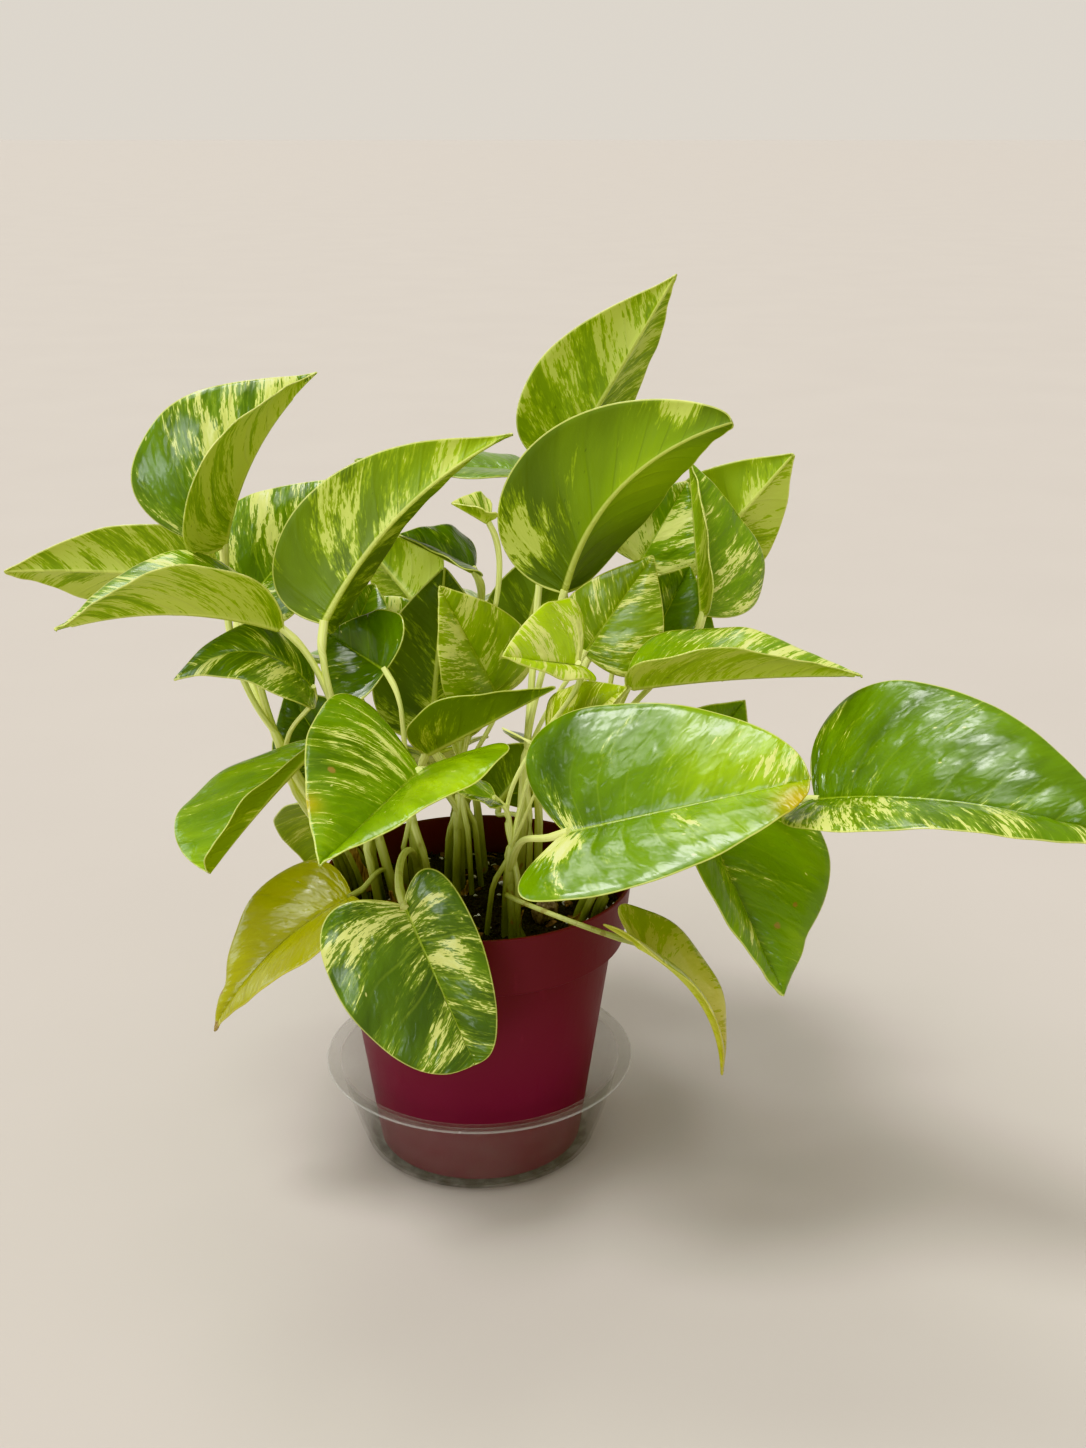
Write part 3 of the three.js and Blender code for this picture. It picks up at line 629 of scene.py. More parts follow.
def margin_distance(points, outline):
    """The distance of each flat point to the nearest stretch of the outline."""
    start = outline
    step = np.roll(outline, -1, axis=0) - start
    rest = points[:, None, :] - start[None]
    share = np.clip((rest * step).sum(-1) / np.maximum((step ** 2).sum(-1), 1e-9), 0, 1)
    return np.linalg.norm(rest - share[..., None] * step, axis=-1).min(axis=1)


def layer_faces(rows, wide):
    """Faces of one layer, a fan at each end and quads between, as lists of point numbers."""
    faces = []
    last = 1 + rows * wide
    for j in range(wide - 1):
        faces.append((0, 2 + j, 1 + j))
        faces.append((last, last - wide + j, last - wide + j + 1))
        for i in range(rows - 1):
            a = 1 + i * wide + j
            faces.append((a, a + 1, a + 1 + wide, a + wide))
    return faces


def point_normals(points, faces):
    """Area-weighted normals. The two diagonals of a quad, or two sides of a triangle, span each."""
    normals = np.zeros_like(points)
    for size in (3, 4):
        part = np.array([f for f in faces if len(f) == size])
        a, b, c, d = (points[part[:, k]] for k in (0, 1, 2, -1))
        way = np.cross(c - a, d - b)
        for k in range(size):
            np.add.at(normals, part[:, k], way)
    return unit(normals)


def store_points(mesh, name, values):
    kind, field = ("FLOAT_VECTOR", "vector") if values.ndim == 2 else ("FLOAT", "value")
    layer = mesh.attributes.new(name, kind, "POINT")
    layer.data.foreach_set(field, values.astype(np.float32).ravel())


def finish_data(blade, number, u, t, h, flow, flat, loop):
    """What the finish reads at each point of one layer, by attribute name."""
    ones = np.ones(len(u))
    mix = np.clip(u / (0.2 * max(blade.halves)) * 0.5 + 0.5, 0, 1)
    tones = {
        "cream": blade.cream[0] * (1 - mix) + blade.cream[1] * mix,
        "yellow": blade.yellow * ones,
        "light": blade.light * ones,
    }
    store = {kind: blade.tone(kind, start, flat) for kind, start in tones.items()}
    store["grain"] = blade.grain * ones
    store["margin"] = margin_distance(flat, flat[loop])
    store["net"] = np.column_stack([vein_count(number, np.abs(u), flow) + 100, t, h])
    store["where"] = np.column_stack([u, flow, 7.3 * number + 3.1 * (u > 0)])
    for k in range(SPOTS):
        spot = np.full((len(u), 3), FAR_SPOT)
        if k < len(blade.spots):
            share, height, radius = blade.spots[k]
            spot = np.column_stack([flat - blade.flat_place(share, height), radius * ones])
        store[f"spot_{k}"] = spot
    return store


def blade_mesh(blade, number):
    """The blade as one closed mesh, with the attributes that its finish reads."""
    rows = max(int(blade.length / ROW_STEP), FEWEST_ROWS)
    spread = np.linspace(0, 1, COLUMNS + 1) ** 1.4
    share = np.concatenate([-spread[:0:-1], spread])
    a, s = np.meshgrid(np.linspace(0, np.pi, rows + 2)[1:-1], share, indexing="ij")
    half = (s > 0).astype(int)
    across, along, rib = blade.outline(a, half)
    h = (1 - np.cos(a)) / 2
    for side, place, width, depth in blade.bites:
        across = across * (1 - depth * (half == side) * np.exp(-((h - place) / width) ** 2))
    t = np.abs(s)
    reach = across * t * (blade.halves[half] - THICKNESS)
    tip = 1 - 1.3 * THICKNESS / blade.length
    flow = a / np.pi * blade.length - VEIN_SWEEP * reach

    def joined(grid, first, last):
        return np.concatenate([[first], grid.ravel(), [last]])

    u, v = joined(np.sign(s) * reach, 0, 0), joined((rib + (along - rib) * t) * tip, 0, tip)
    t, h, flow = joined(t, 0, 0), joined(h, 0, 1), joined(flow, 0, blade.length)
    reach = np.abs(u)
    middle = blade.at(u, v, relief(blade, number, t, reach, flow, h))
    wide = share.size
    faces = layer_faces(rows, wide)
    normals = point_normals(middle, faces)
    groove = GROOVE_DEPTH * np.exp(-(reach / 0.8) ** 2) * (1 - h)
    ridge = (RIDGE_HEIGHT - 0.95 * h) * np.exp(-(reach / (1.5 - 0.8 * h)) ** 2) * np.clip(h * 30, 0, 1)
    upper = middle + normals * (THICKNESS / 2 - groove)[:, None]
    lower = middle - normals * (THICKNESS / 2 + ridge)[:, None]

    left = [1 + i * wide for i in range(rows)]
    right = [first + wide - 1 for first in left]
    loop = np.array([0, *right, 1 + rows * wide, *left[::-1]])
    way = unit(np.roll(middle[loop], -1, axis=0) - np.roll(middle[loop], 1, axis=0))
    rim = middle[loop] + unit(np.cross(way, normals[loop])) * THICKNESS * RIM_REACH
    count = len(middle)
    all_faces = faces + [tuple(count + k for k in face[::-1]) for face in faces]
    for i, (p, q) in enumerate(zip(loop.tolist(), np.roll(loop, -1).tolist())):
        here, there = 2 * count + i, 2 * count + (i + 1) % len(loop)
        all_faces += [(p, here, there, q), (here, count + p, count + q, there)]

    mesh = new_mesh("blade_" + blade.name, np.vstack([upper, lower, rim]), all_faces)
    flat = np.column_stack([u, v * blade.length])
    added = dict(zip(("cream", "light"), blade.under))
    for name, values in finish_data(blade, number, u, t, h, flow, flat, loop).items():
        behind = values + added.get(name, 0)
        store_points(mesh, name, np.concatenate([values, behind, values[loop]]))
    under = np.zeros(len(all_faces), np.int32)
    under[len(faces):2 * len(faces)] = 1
    mesh.polygons.foreach_set("material_index", under)
    return mesh


# %% [markdown]
# ## The leaf's two faces
#
# Marbling is patches of cells without green. They grow outwards with the side veins, so the cream
# lies in streaks from rib to margin, broken into flecks, with sharp edges and a paler green beside
# them. Noise on the blade's own coordinates, drawn out along the veins, gives that. One field adds
# broad, streaky and fine noise, and the leaf's cream share sets the level above which it is cream.
# Both faces read the same field, so a streak shows through on both sides.

# %% The marbling field
def marbling(nodes):
    """Sharp cream, a soft paler border beside it, and the fine flecks, for both faces."""
    where = nodes.attribute("where", "Vector")
    parts = nodes.parts(where)
    grain = {"X": parts["X"], "Y": parts["Y"] * nodes.attribute("grain"), "Z": parts["Z"]}
    grain = nodes.node("ShaderNodeCombineXYZ", None, grain)
    broad = nodes.noise(nodes.scaled(grain, (0.035, 0.1, 1.0)), detail=2)
    streak = nodes.noise(nodes.scaled(grain, (0.12, 0.52, 1.0)), detail=3, roughness=0.6, distortion=0.6)
    fleck = nodes.noise(nodes.scaled(grain, (0.42, 1.7, 1.0)), detail=2, roughness=0.6, distortion=0.4)
    field = broad * 0.42 + streak * 0.36 + fleck * 0.22
    level = 0.65 - 0.32 * nodes.attribute("cream")
    crisp = nodes.step(field, level - 0.008, level + 0.008)
    soft = nodes.step(field, level - 0.085, level + 0.005)
    return where, crisp, soft, fleck


def pale_lines(nodes, rib_width):
    """How much of the midrib, the side veins and the margin shows at a point."""
    net = nodes.parts(nodes.attribute("net", "Vector"))
    place = nodes.parts(nodes.attribute("where", "Vector"))
    half_width = rib_width * (1.15 - net["Z"])
    rib = 1 - nodes.step(abs(place["X"]), half_width * 0.35, half_width)
    off_vein = nodes.math("PINGPONG", net["X"], 0.5)
    veins = (1 - nodes.step(off_vein, 0.0, 0.06)) * nodes.step(net["Y"], 0.85, 0.3)
    margin = 1 - nodes.step(nodes.attribute("margin"), 0.1, 0.45)
    return rib, veins, margin, off_vein


def round_dots(nodes, where, scale, size, rare):
    """Small dots on some of a Voronoi pattern's cells. A higher rare leaves fewer of them."""
    values = {"Vector": nodes.scaled(where, (scale, scale, 1.0)), "Scale": 1.0}
    cells = nodes.node("ShaderNodeTexVoronoi", None, values)
    return (1 - nodes.step(cells, 0.05, size)) * (nodes.parts(cells["Color"])["X"] > rare)


def spot_share(nodes, fleck):
    """The brown spots: nearness to a spot's middle, with a ragged edge."""
    share = 0.0
    for k in range(SPOTS):
        parts = nodes.parts(nodes.attribute(f"spot_{k}", "Vector"))
        away = nodes.away(parts) + fleck * 2.4 - 1.2
        share = share + (1 - nodes.step(away, parts["Z"] * 0.7, parts["Z"] * 1.15))
    return nodes.math("MINIMUM", share, 1.0)


def leaf_green(nodes, greens, where, tone_scale, spread):
    """Green from deep to bright by the leaf's own lightness, made uneven by the spread."""
    patchy = nodes.noise(nodes.scaled(where, tone_scale, (5, 3, 0)), detail=2)
    tone = nodes.attribute("light") + (patchy - 0.5) * spread
    low = nodes.blend(nodes.step(tone, 0.0, 0.5), greens[0], greens[1])
    return nodes.blend(nodes.step(tone, 0.45, 1.0), low, greens[2])


# %% [markdown]
# The upper face is glossy with a thin waxy coat. Its green runs from deep to bright over the leaf,
# the cream is a warm ivory, and tiny pale dots lie scattered over it. The finest wrinkles between
# the side veins are too small for the mesh, so they are a bump.

# %% Upper face
DEEP_GREEN = colour(50, 80, 3)
LEAF_GREEN = colour(102, 140, 5)
BRIGHT_GREEN = colour(166, 200, 22)
PALE_GREEN = colour(174, 200, 70)
IVORY = colour(238, 238, 152)
MARGIN_PALE = colour(216, 222, 124)
TURNED_YELLOW = colour(182, 162, 14)
DEAD_BROWN = colour(150, 128, 62)


def upper_face():
    nodes, finish = new_material("leaf_upper", Coat_Weight=0.35, Coat_Roughness=0.14)
    where, crisp, soft, fleck = marbling(nodes)
    rib, veins, margin, off_vein = pale_lines(nodes, 0.85)
    greens = (DEEP_GREEN, LEAF_GREEN, BRIGHT_GREEN)
    base = nodes.layered(leaf_green(nodes, greens, where, (0.05, 0.12, 2.0), 0.55), [
        (soft * 0.4, PALE_GREEN),
        (veins * (0.1 + nodes.attribute("cream") * 0.5), PALE_GREEN),
        (crisp * 0.93, nodes.blend(fleck * 0.45, IVORY, BRIGHT_GREEN)),
        (round_dots(nodes, where, 0.22, 0.11, 0.72) * 0.6, IVORY),
        (rib * 0.75, PALE_GREEN),
        (margin * 0.7, MARGIN_PALE),
        (nodes.attribute("yellow") * 0.9, TURNED_YELLOW),
        (spot_share(nodes, fleck), DEAD_BROWN),
    ])
    wrinkle = nodes.noise(nodes.scaled(where, (0.12, 0.24, 1.0), (2, 9, 4)), detail=1, roughness=0.4)
    crease = nodes.noise(nodes.scaled(where, (0.24, 0.42, 1.0), (6, 1, 2)), detail=1, distortion=0.4)
    height = wrinkle * 0.9 + crease * 0.56 + nodes.step(off_vein, 0.0, 0.16) * 0.1
    gloss = 0.22 + nodes.noise(where, 0.08) * 0.12 + crisp * 0.04
    return finish(Base_Color=base, Roughness=gloss, Normal=nodes.bump(height, 1.0))


# %% [markdown]
# The under face is matt and olive, with the same marbling dulled, a broad pale midrib and small
# dark dots. Its greens are painted brighter than the leaf's own, to stand in for light shining
# through the blade.

# %% Under face
UNDER_DEEP = colour(70, 92, 4)
# Painted light: the two greens below are brighter, to stand in for light shining through the blade.
UNDER_GREEN_LIT_THROUGH = colour(120, 150, 8)
UNDER_BRIGHT_LIT_THROUGH = colour(176, 202, 38)
UNDER_CREAM = colour(214, 222, 118)


def under_face():
    nodes, finish = new_material("leaf_under")
    where, crisp, soft, fleck = marbling(nodes)
    rib, veins, margin, off_vein = pale_lines(nodes, 1.5)
    greens = (UNDER_DEEP, UNDER_GREEN_LIT_THROUGH, UNDER_BRIGHT_LIT_THROUGH)
    base = nodes.layered(leaf_green(nodes, greens, where, (0.04, 0.1, 2.0), 0.28), [
        (soft * 0.5, UNDER_BRIGHT_LIT_THROUGH),
        (veins * 0.3, UNDER_DEEP),
        (crisp * 0.6, UNDER_CREAM),
        (round_dots(nodes, where, 0.2, 0.1, 0.75) * 0.55, UNDER_DEEP),
        (rib * 0.7, UNDER_CREAM),
        (margin * 0.75, MARGIN_PALE),
        (nodes.attribute("yellow") * 0.7, TURNED_YELLOW),
        (spot_share(nodes, fleck), DEAD_BROWN),
    ])
    wrinkle = nodes.noise(nodes.scaled(where, (0.2, 0.6, 1.0)), detail=3)
    height = wrinkle * 0.6 - nodes.step(off_vein, 0.0, 0.12) * 0.3
    gloss = 0.46 + nodes.noise(where, 0.1) * 0.14
    return finish(Base_Color=base, Roughness=gloss, Normal=nodes.bump(height, 0.4))


UPPER = upper_face()
UNDER = under_face()
print("leaf finishes:", UPPER.name, UNDER.name)

# %% Make the leaves
def show(piece, slot, *nodes):
    """Puts a piece on the one body and hides the frame parts it stands for. The slot is not used."""
    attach(piece, "root")
    if nodes:
        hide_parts(*nodes)


def new_piece(name, mesh, *materials):
    mesh.name = name
    for material in materials:
        mesh.materials.append(material)
    return linked(name, mesh)


triangles = 0
for number, blade in enumerate(BLADES):
    piece = new_piece("blade_" + blade.name, blade_mesh(blade, number), UPPER, UNDER)
    show(piece, "leaf_" + blade.look, "leaf_" + blade.name)
    triangles += sum(len(face.vertices) - 2 for face in piece.data.polygons)
print("blades hold", triangles, "triangles")

# %% [markdown]
# ## Stems and petioles along their paths
#
# A petiole is a smooth stalk with a shallow groove along its upper side, thicker where it leaves
# the stem and a little swollen under the blade. Low on the plant the petioles' sheaths run beside
# the stem, so what rises from the soil looks like a bundle of stalks. Each stalk is a line of
# points that carries a radius. Geometry Nodes sweep one grooved section along all of them.

# %% The lines of a stem's stalks
PETIOLE_RADIUS = 1.5
SLIM_RADIUS = 1.1
SLIM_BELOW = 28
STEM_RADIUS = 2.4
STUB_LENGTH = 4.3
BESIDE_STEM = 5.6


def bezier(points, t):
    a, b, c, d = points
    t = t[:, None]
    return (1 - t) ** 3 * a + 3 * t * (1 - t) ** 2 * b + 3 * t ** 2 * (1 - t) * c + t ** 3 * d


def petiole_line(blade, number):
    """Points and radii of a petiole, from the soil beside its stem up to the blade's base."""
    t_node = stem_node(blade.height)
    node = stem_point(blade.stem, t_node)
    arrive = blade.arrival()
    end = blade.base - arrive * STUB_LENGTH
    span = np.linalg.norm(end - node)
    leave = unit(stem_way(blade.stem, t_node) + 0.5 * unit(end - node))
    first = node + leave * 0.4 * span + np.array(blade.bow, float)
    free = bezier((node, first, end - arrive * span * 0.22, end), np.linspace(0, 1, 30)[1:])
    over_x, over_y, _ = blade.base - node
    turn = math.atan2(over_y, over_x) + 0.5 * math.sin(2.4 * number)
    aside = np.array([math.cos(turn), math.sin(turn), 0])
    aside *= BESIDE_STEM + 1.6 * math.sin(1.7 * number)
    low = []
    for t in np.linspace(0.3, t_node, 12):
        below = t_node - t
        low.append(stem_point(blade.stem, t) + aside * min(1, below * 5) * (0.8 + below))
    line = np.vstack([low, free, blade.base + arrive * np.array([[0.2], [1.6]])])
    radius = PETIOLE_RADIUS if max(blade.halves) >= SLIM_BELOW else SLIM_RADIUS
    t = np.linspace(0, 1, len(line))
    swell = 1.2 - 0.22 * np.sin(np.pi * t) + 0.12 * np.exp(-((t - 0.93) / 0.04) ** 2)
    swell += 0.1 * np.clip(1 - t / 0.35, 0, 1)
    return line, radius * swell


def stem_line(stem):
    t = np.linspace(0.08, 1, 36)
    line = np.array([stem_point(stem, v) for v in t])
    radius = STEM_RADIUS * (1 - 0.5 * np.clip((t - 0.93) / 0.07, 0, 1) ** 2)
    for height in {blade.height for blade in BLADES if blade.stem == stem}:
        radius = radius + 0.3 * np.exp(-((t - stem_node(height) + 0.02) / 0.012) ** 2)
    return line, radius


def tendril_line():
    """A thin dried leaf tip on stem e that pokes out between the two big front leaves."""
    points = [(15, -31, 149), (24, -44, 176), (30, -57, 196), (24, -60, 203.9), (12.3, -60, 209.8)]
    t = np.linspace(0, 1, 40)
    ends = np.linspace(0, 1, len(points))
    line = np.column_stack([np.interp(t, ends, axis) for axis in zip(*points)])
    for _ in range(30):
        line[1:-1] = (line[:-2] + 2 * line[1:-1] + line[2:]) / 4
    return line, 0.75 - 0.35 * t + 0.5 * np.exp(-((t - 0.76) / 0.03) ** 2)


def stalk_mesh(lines):
    """Loose lines of points as a mesh of edges, with the radius as an attribute."""
    points, edges, radii = [], [], []
    for line, radius in lines:
        first = len(points)
        edges += [(first + i, first + i + 1) for i in range(len(line) - 1)]
        points += line.tolist()
        radii += radius.tolist()
    mesh = new_mesh("stalks", points, [], edges, smooth=False)
    store_points(mesh, "radius", np.array(radii) * MM)
    return mesh


# %% The sweep as a Geometry Nodes tree
def new_growth(name, inputs):
    """A Geometry Nodes tree with a geometry input, named inputs and their start values."""
    tree = bpy.data.node_groups.new(name, "GeometryNodeTree")
    tree.interface.new_socket("Geometry", in_out="INPUT", socket_type="NodeSocketGeometry")
    tree.interface.new_socket("Geometry", in_out="OUTPUT", socket_type="NodeSocketGeometry")
    for label, (kind, value) in inputs.items():
        socket = tree.interface.new_socket(label, in_out="INPUT", socket_type="NodeSocket" + kind)
        if value is not None:
            socket.default_value = value
    nodes = Nodes(tree)
    return tree, nodes, nodes.node("NodeGroupInput")


def grow(tree, name, mesh, **values):
    """Runs a tree on a mesh and returns the result as a plain piece, without the modifier."""
    piece = linked(name, mesh)
    modifier = piece.modifiers.new("growth", "NODES")
    modifier.node_group = tree
    for socket in tree.interface.items_tree:
        key = socket.name.lower()
        if socket.in_out == "INPUT" and key in values:
            modifier[socket.identifier] = values[key]
    apply_modifier(piece, modifier)
    piece.data.name = name
    return piece


def end_tree(nodes, made, material):
    """Realizes the instances, sets the material and ends the tree."""
    real = nodes.geometry("RealizeInstances", {0: made})
    done = nodes.geometry("SetMaterial", {"Geometry": real, "Material": material})
    nodes.node("NodeGroupOutput", None, {0: done})


def sweep_tree():
    inputs = {"Sides": ("Int", 12), "Groove": ("Float", 0.3), "Material": ("Material", None)}
    tree, nodes, given = new_growth("grooved_sweep", inputs)
    lines = nodes.geometry("MeshToCurve", {"Mesh": given["Geometry"]})
    lines = nodes.geometry("SetCurveNormal", {"Curve": lines}, mode="Z_UP")
    circle = {"Resolution": given["Sides"], "Radius": 1.0}
    circle = nodes.geometry("CurvePrimitiveCircle", circle, mode="RADIUS")
    place = nodes.geometry("InputPosition")
    dent = nodes.step(nodes.parts(place)["Y"], 0.5, 1.0) * given["Groove"]
    offset = nodes.times(place, dent * -1)
    section = nodes.geometry("SetPosition", {"Geometry": circle, "Offset": offset})
    around = {"Geometry": section, "Name": "around", "Value": nodes.geometry("SplineParameter")}
    section = nodes.geometry("StoreNamedAttribute", around, data_type="FLOAT", domain="POINT")
    radius = nodes.geometry("InputNamedAttribute", {"Name": "radius"}, data_type="FLOAT")
    swept = {"Curve": lines, "Profile Curve": section, "Scale": radius, "Fill Caps": True}
    swept = nodes.geometry("CurveToMesh", swept)
    swept = nodes.geometry("SetShadeSmooth", {"Geometry": swept})
    end_tree(nodes, swept, given["Material"])
    return tree


# %% [markdown]
# The stalks are pale yellow-green with faint darker stripes along them. Towards the soil they are
# painted a dull olive as shade, with brown where old sheaths have dried.

# %% Stalk finish, and the stalks
STALK_GREEN = colour(208, 222, 98)
STALK_PALE = colour(250, 252, 176)
STALK_PAINTED_SHADE = colour(98, 106, 36)
SHEATH_BROWN = colour(122, 84, 44)


def stalk_finish():
    nodes, finish = new_material("stalk")
    place = nodes.object_place()
    blotch = nodes.noise(nodes.scaled(place, (1, 1, 0.25)), 190.0, detail=3)
    stripe = nodes.math("SINE", nodes.attribute("around") * 44 + blotch * 3) * 0.5 + 0.5
    low = 1 - nodes.step(nodes.parts(place)["Z"], 0.112, 0.165)
    stain = nodes.step(nodes.noise(nodes.scaled(place, (1, 1, 0.4)), 260.0, detail=4), 0.6, 0.68)
    base = nodes.layered(STALK_PALE, [
        (stripe * 0.3 + blotch * 0.5, STALK_GREEN),
        # Painted shade: towards the soil the stalks darken to dull olive.
        (low * (0.7 + blotch * 0.6), STALK_PAINTED_SHADE),
        (stain * (low * 0.8 + 0.03), SHEATH_BROWN),
    ])
    gloss = 0.4 + blotch * 0.15
    return finish(Base_Color=base, Roughness=gloss, Normal=nodes.bump(stripe * 0.3 + blotch, 0.12))


SWEEP = sweep_tree()
STALK = stalk_finish()
for stem in STEMS:
    carried = [blade for blade in BLADES if blade.stem == stem]
    lines = [stem_line(stem)] + [petiole_line(blade, k) for k, blade in enumerate(carried)]
    if stem == "e":
        lines.append(tendril_line())
    piece = grow(SWEEP, "stalks_" + stem, stalk_mesh(lines), sides=14, groove=0.3, material=STALK)
    show(piece, "stem", "stem_" + stem)
    print("stem", stem, "carries", len(lines) - 1, "petioles,", len(piece.data.polygons), "faces")

# %% [markdown]
# A petiole grows out of a sheath that wraps the stem, and old sheaths dry to brown paper that clings
# to the stalks. Each is a strip laid round part of a stem, loose at its top, where it runs out to a
# ragged point.

# %% Dry sheaths
SHEATHS = [
    ("a", 0.42, 0.66, -1.3, 5.6), ("a", 0.6, 0.8, -0.5, 5.0), ("b", 0.4, 0.62, -1.9, 5.2),
    ("c", 0.4, 0.6, -1.2, 5.0), ("e", 0.4, 0.6, -0.8, 5.0), ("f", 0.42, 0.6, -1.7, 5.0),
    ("g", 0.4, 0.62, -2.2, 4.6), ("d", 0.4, 0.55, -1.4, 5.0),
]
SHEATH_ROWS = 26
SHEATH_COLUMNS = 8
SHEATH_THICKNESS = 0.25


def thin_sheet(name, grid, thickness):
    """A grid of points in mm closed into a thin sheet: two layers and a rim between them."""
    rows, columns, _ = grid.shape
    side = np.gradient(grid, axis=1)
    normal = unit(np.cross(np.gradient(grid, axis=0), side) + 1e-9)
    layers = [(grid + normal * lift).reshape(-1, 3) for lift in (thickness / 2, -thickness / 2)]
    count = rows * columns
    faces = []
    for i in range(rows - 1):
        for j in range(columns - 1):
            a = i * columns + j
            quad = (a, a + columns, a + columns + 1, a + 1)
            faces += [quad, tuple(count + k for k in quad[::-1])]
    rim = [i * columns for i in range(rows)]
    rim += [(rows - 1) * columns + j for j in range(1, columns)]
    rim += [i * columns + columns - 1 for i in range(rows - 2, -1, -1)]
    rim += list(range(columns - 2, 0, -1))
    faces += [(b, a, count + a, count + b) for a, b in zip(rim, rim[1:] + rim[:1])]
    return new_mesh(name, np.vstack(layers), faces)


def sheath_grid(number, stem, low, high, middle, radius):
    """Rows up the stem, columns round it. The strip narrows upwards and leans off the stem."""
    grid = np.zeros((SHEATH_ROWS, SHEATH_COLUMNS, 3))
    for i, w in enumerate(np.linspace(0, 1, SHEATH_ROWS)):
        t = low + (high - low) * w
        middle_now = middle + 0.5 * w + 0.12 * math.sin(9 * w + number)
        half_angle = 0.42 * (1 - w ** 2.2) + 0.05 * math.sin(23 * w + 2 * number) + 0.05
        away = radius + 1.1 * w ** 3 + 0.12 * math.sin(17 * w + number)
        for j, v in enumerate(np.linspace(-1, 1, SHEATH_COLUMNS)):
            turn = middle_now + half_angle * v
            curl = away + 0.5 * abs(v) ** 3 * (0.4 + w)
            grid[i, j] = stem_point(stem, t) + curl * np.array([math.cos(turn), math.sin(turn), 0])
    return grid


def paper_finish():
    nodes, finish = new_material("dry_sheath")
    place = nodes.object_place()
    fibre = nodes.noise(nodes.scaled(place, (1, 1, 0.1)), 1400.0, detail=3)
    blotch = nodes.noise(place, 240.0, detail=3)
    share = nodes.step(fibre * 0.6 + blotch * 0.4, 0.36, 0.64)
    base = nodes.blend(share, colour(92, 60, 32), colour(206, 170, 118))
    return finish(Base_Color=base, Roughness=0.62 + blotch * 0.2, Normal=nodes.bump(fibre, 0.15))


PAPER = paper_finish()
for number, row in enumerate(SHEATHS):
    name = f"sheath_{number + 1}"
    sheet = thin_sheet(name, sheath_grid(number, *row), SHEATH_THICKNESS)
    show(new_piece(name, sheet, PAPER), "stem")
print(len(SHEATHS), "dry sheaths")

# %% [markdown]
# ## Pot and saucer
#
# Both are thin moulded shells that are round about one axis, so each is half an outline turned
# round it. The outline's corners are rounded first: a moulded edge is never sharp, and a rounded
# one catches a line of light. The outline is walked once outside and once inside, which gives the
# wall its real thickness.

# %% Turning an outline
ROUND = 160
AXIS_REACH = 0.01


def softened(outline, radius, parts=4):
    """The closed outline with each corner replaced by a small arc, in mm."""
    made = []
    for i, corner in enumerate(outline):
        before = np.array(outline[i - 1], float)
        after = np.array(outline[(i + 1) % len(outline)], float)
        corner = np.array(corner, float)
        if corner[0] < AXIS_REACH:
            made.append(corner)
            continue
        cut = [min(radius, np.linalg.norm(end - corner) * 0.45) for end in (before, after)]
        start = corner + unit(before - corner) * cut[0]
        end = corner + unit(after - corner) * cut[1]
        for t in np.linspace(0, 1, parts + 1):
            made.append((1 - t) ** 2 * start + 2 * t * (1 - t) * corner + t ** 2 * end)
    return made


def turned(name, outline):
    """A closed outline of radii and heights turned round Z. A point on the axis is one vertex."""
    points, rings = [], []
    for radius, height in outline:
        count = 1 if radius < AXIS_REACH else ROUND
        rings.append([len(points) + k % count for k in range(ROUND)])
        for k in range(count):
            angle = 2 * math.pi * k / ROUND
            points.append((radius * math.cos(angle), radius * math.sin(angle), height))
    faces = []
    for here, there in zip(rings, rings[1:] + rings[:1]):
        if here[0] == here[1] and there[0] == there[1]:
            continue
        for k in range(ROUND):
            n = (k + 1) % ROUND
            faces.append(tuple(dict.fromkeys((here[k], here[n], there[n], there[k]))))
    return new_mesh(name, points, faces)


# %% [markdown]
# The pot is dark magenta plastic. Its collar, at the top, is wider than the body. The colour is
# redder there and painted lighter and purpler towards the foot, as light reflected onto the lower
# wall. The inside of the collar is painted darker, and darker still just above the soil. Light
# brushes past fine moulding grain and a few scuffs.

# %% Pot
DRAIN_HOLES = 5
DRILL_SIDES = 32
DRILL_Z = (3, 9)
POT_ROUNDING = 0.7
DRAIN_RADIUS = 4
DRAIN_RING = 28
POT_OUTLINE = [
    (0, 5), (39.7, 5), (40.7, 2.8), (43.7, 2.8), (57.3, 96.5), (62, 98), (64.6, 122), (65, 124),
    (63.4, 124), (60.4, 99.6), (55.7, 98), (42.1, 6.6), (0, 6.6),
]


def pot_finish():
    nodes, finish = new_material("pot_plastic", Specular_IOR_Level=0.45)
    place = nodes.object_place()
    parts = nodes.parts(place)
    height = parts["Z"]
    cloud = nodes.noise(place, 22.0, detail=3)
    scuff = nodes.noise(nodes.scaled(place, (1, 1, 0.12)), 150.0, detail=5, roughness=0.7)
    wall_middle = 0.0613 + (height - 0.099) * 0.115
    in_collar = nodes.step(height, 0.0985, 0.0995)
    # The inside of the collar is painted darker, and darker still just above the soil.
    inside = nodes.step(wall_middle - nodes.away(parts), 0.0, 0.0004) * in_collar
    near_soil = 1 - nodes.step(height + cloud * 0.01, 0.108, 0.124)
    # Painted light: the foot's colour below is lighter and purpler, as light reflected onto the lower
    # wall.
    base = nodes.layered(colour(118, 40, 62), [
        (nodes.step(height + cloud * 0.012, 0.02, 0.13), colour(100, 38, 48)),
        (nodes.step(scuff, 0.58, 0.8) * 0.3, colour(160, 70, 88)),
        (inside * (0.3 + near_soil * 0.45), colour(38, 20, 16)),
    ])
    dust = nodes.noise(place, 700.0, detail=2)
    gloss = 0.4 + cloud * 0.12 + nodes.step(scuff, 0.5, 0.8) * 0.12
    return finish(Base_Color=base, Roughness=gloss, Normal=nodes.bump(dust + cloud * 2, 0.05))


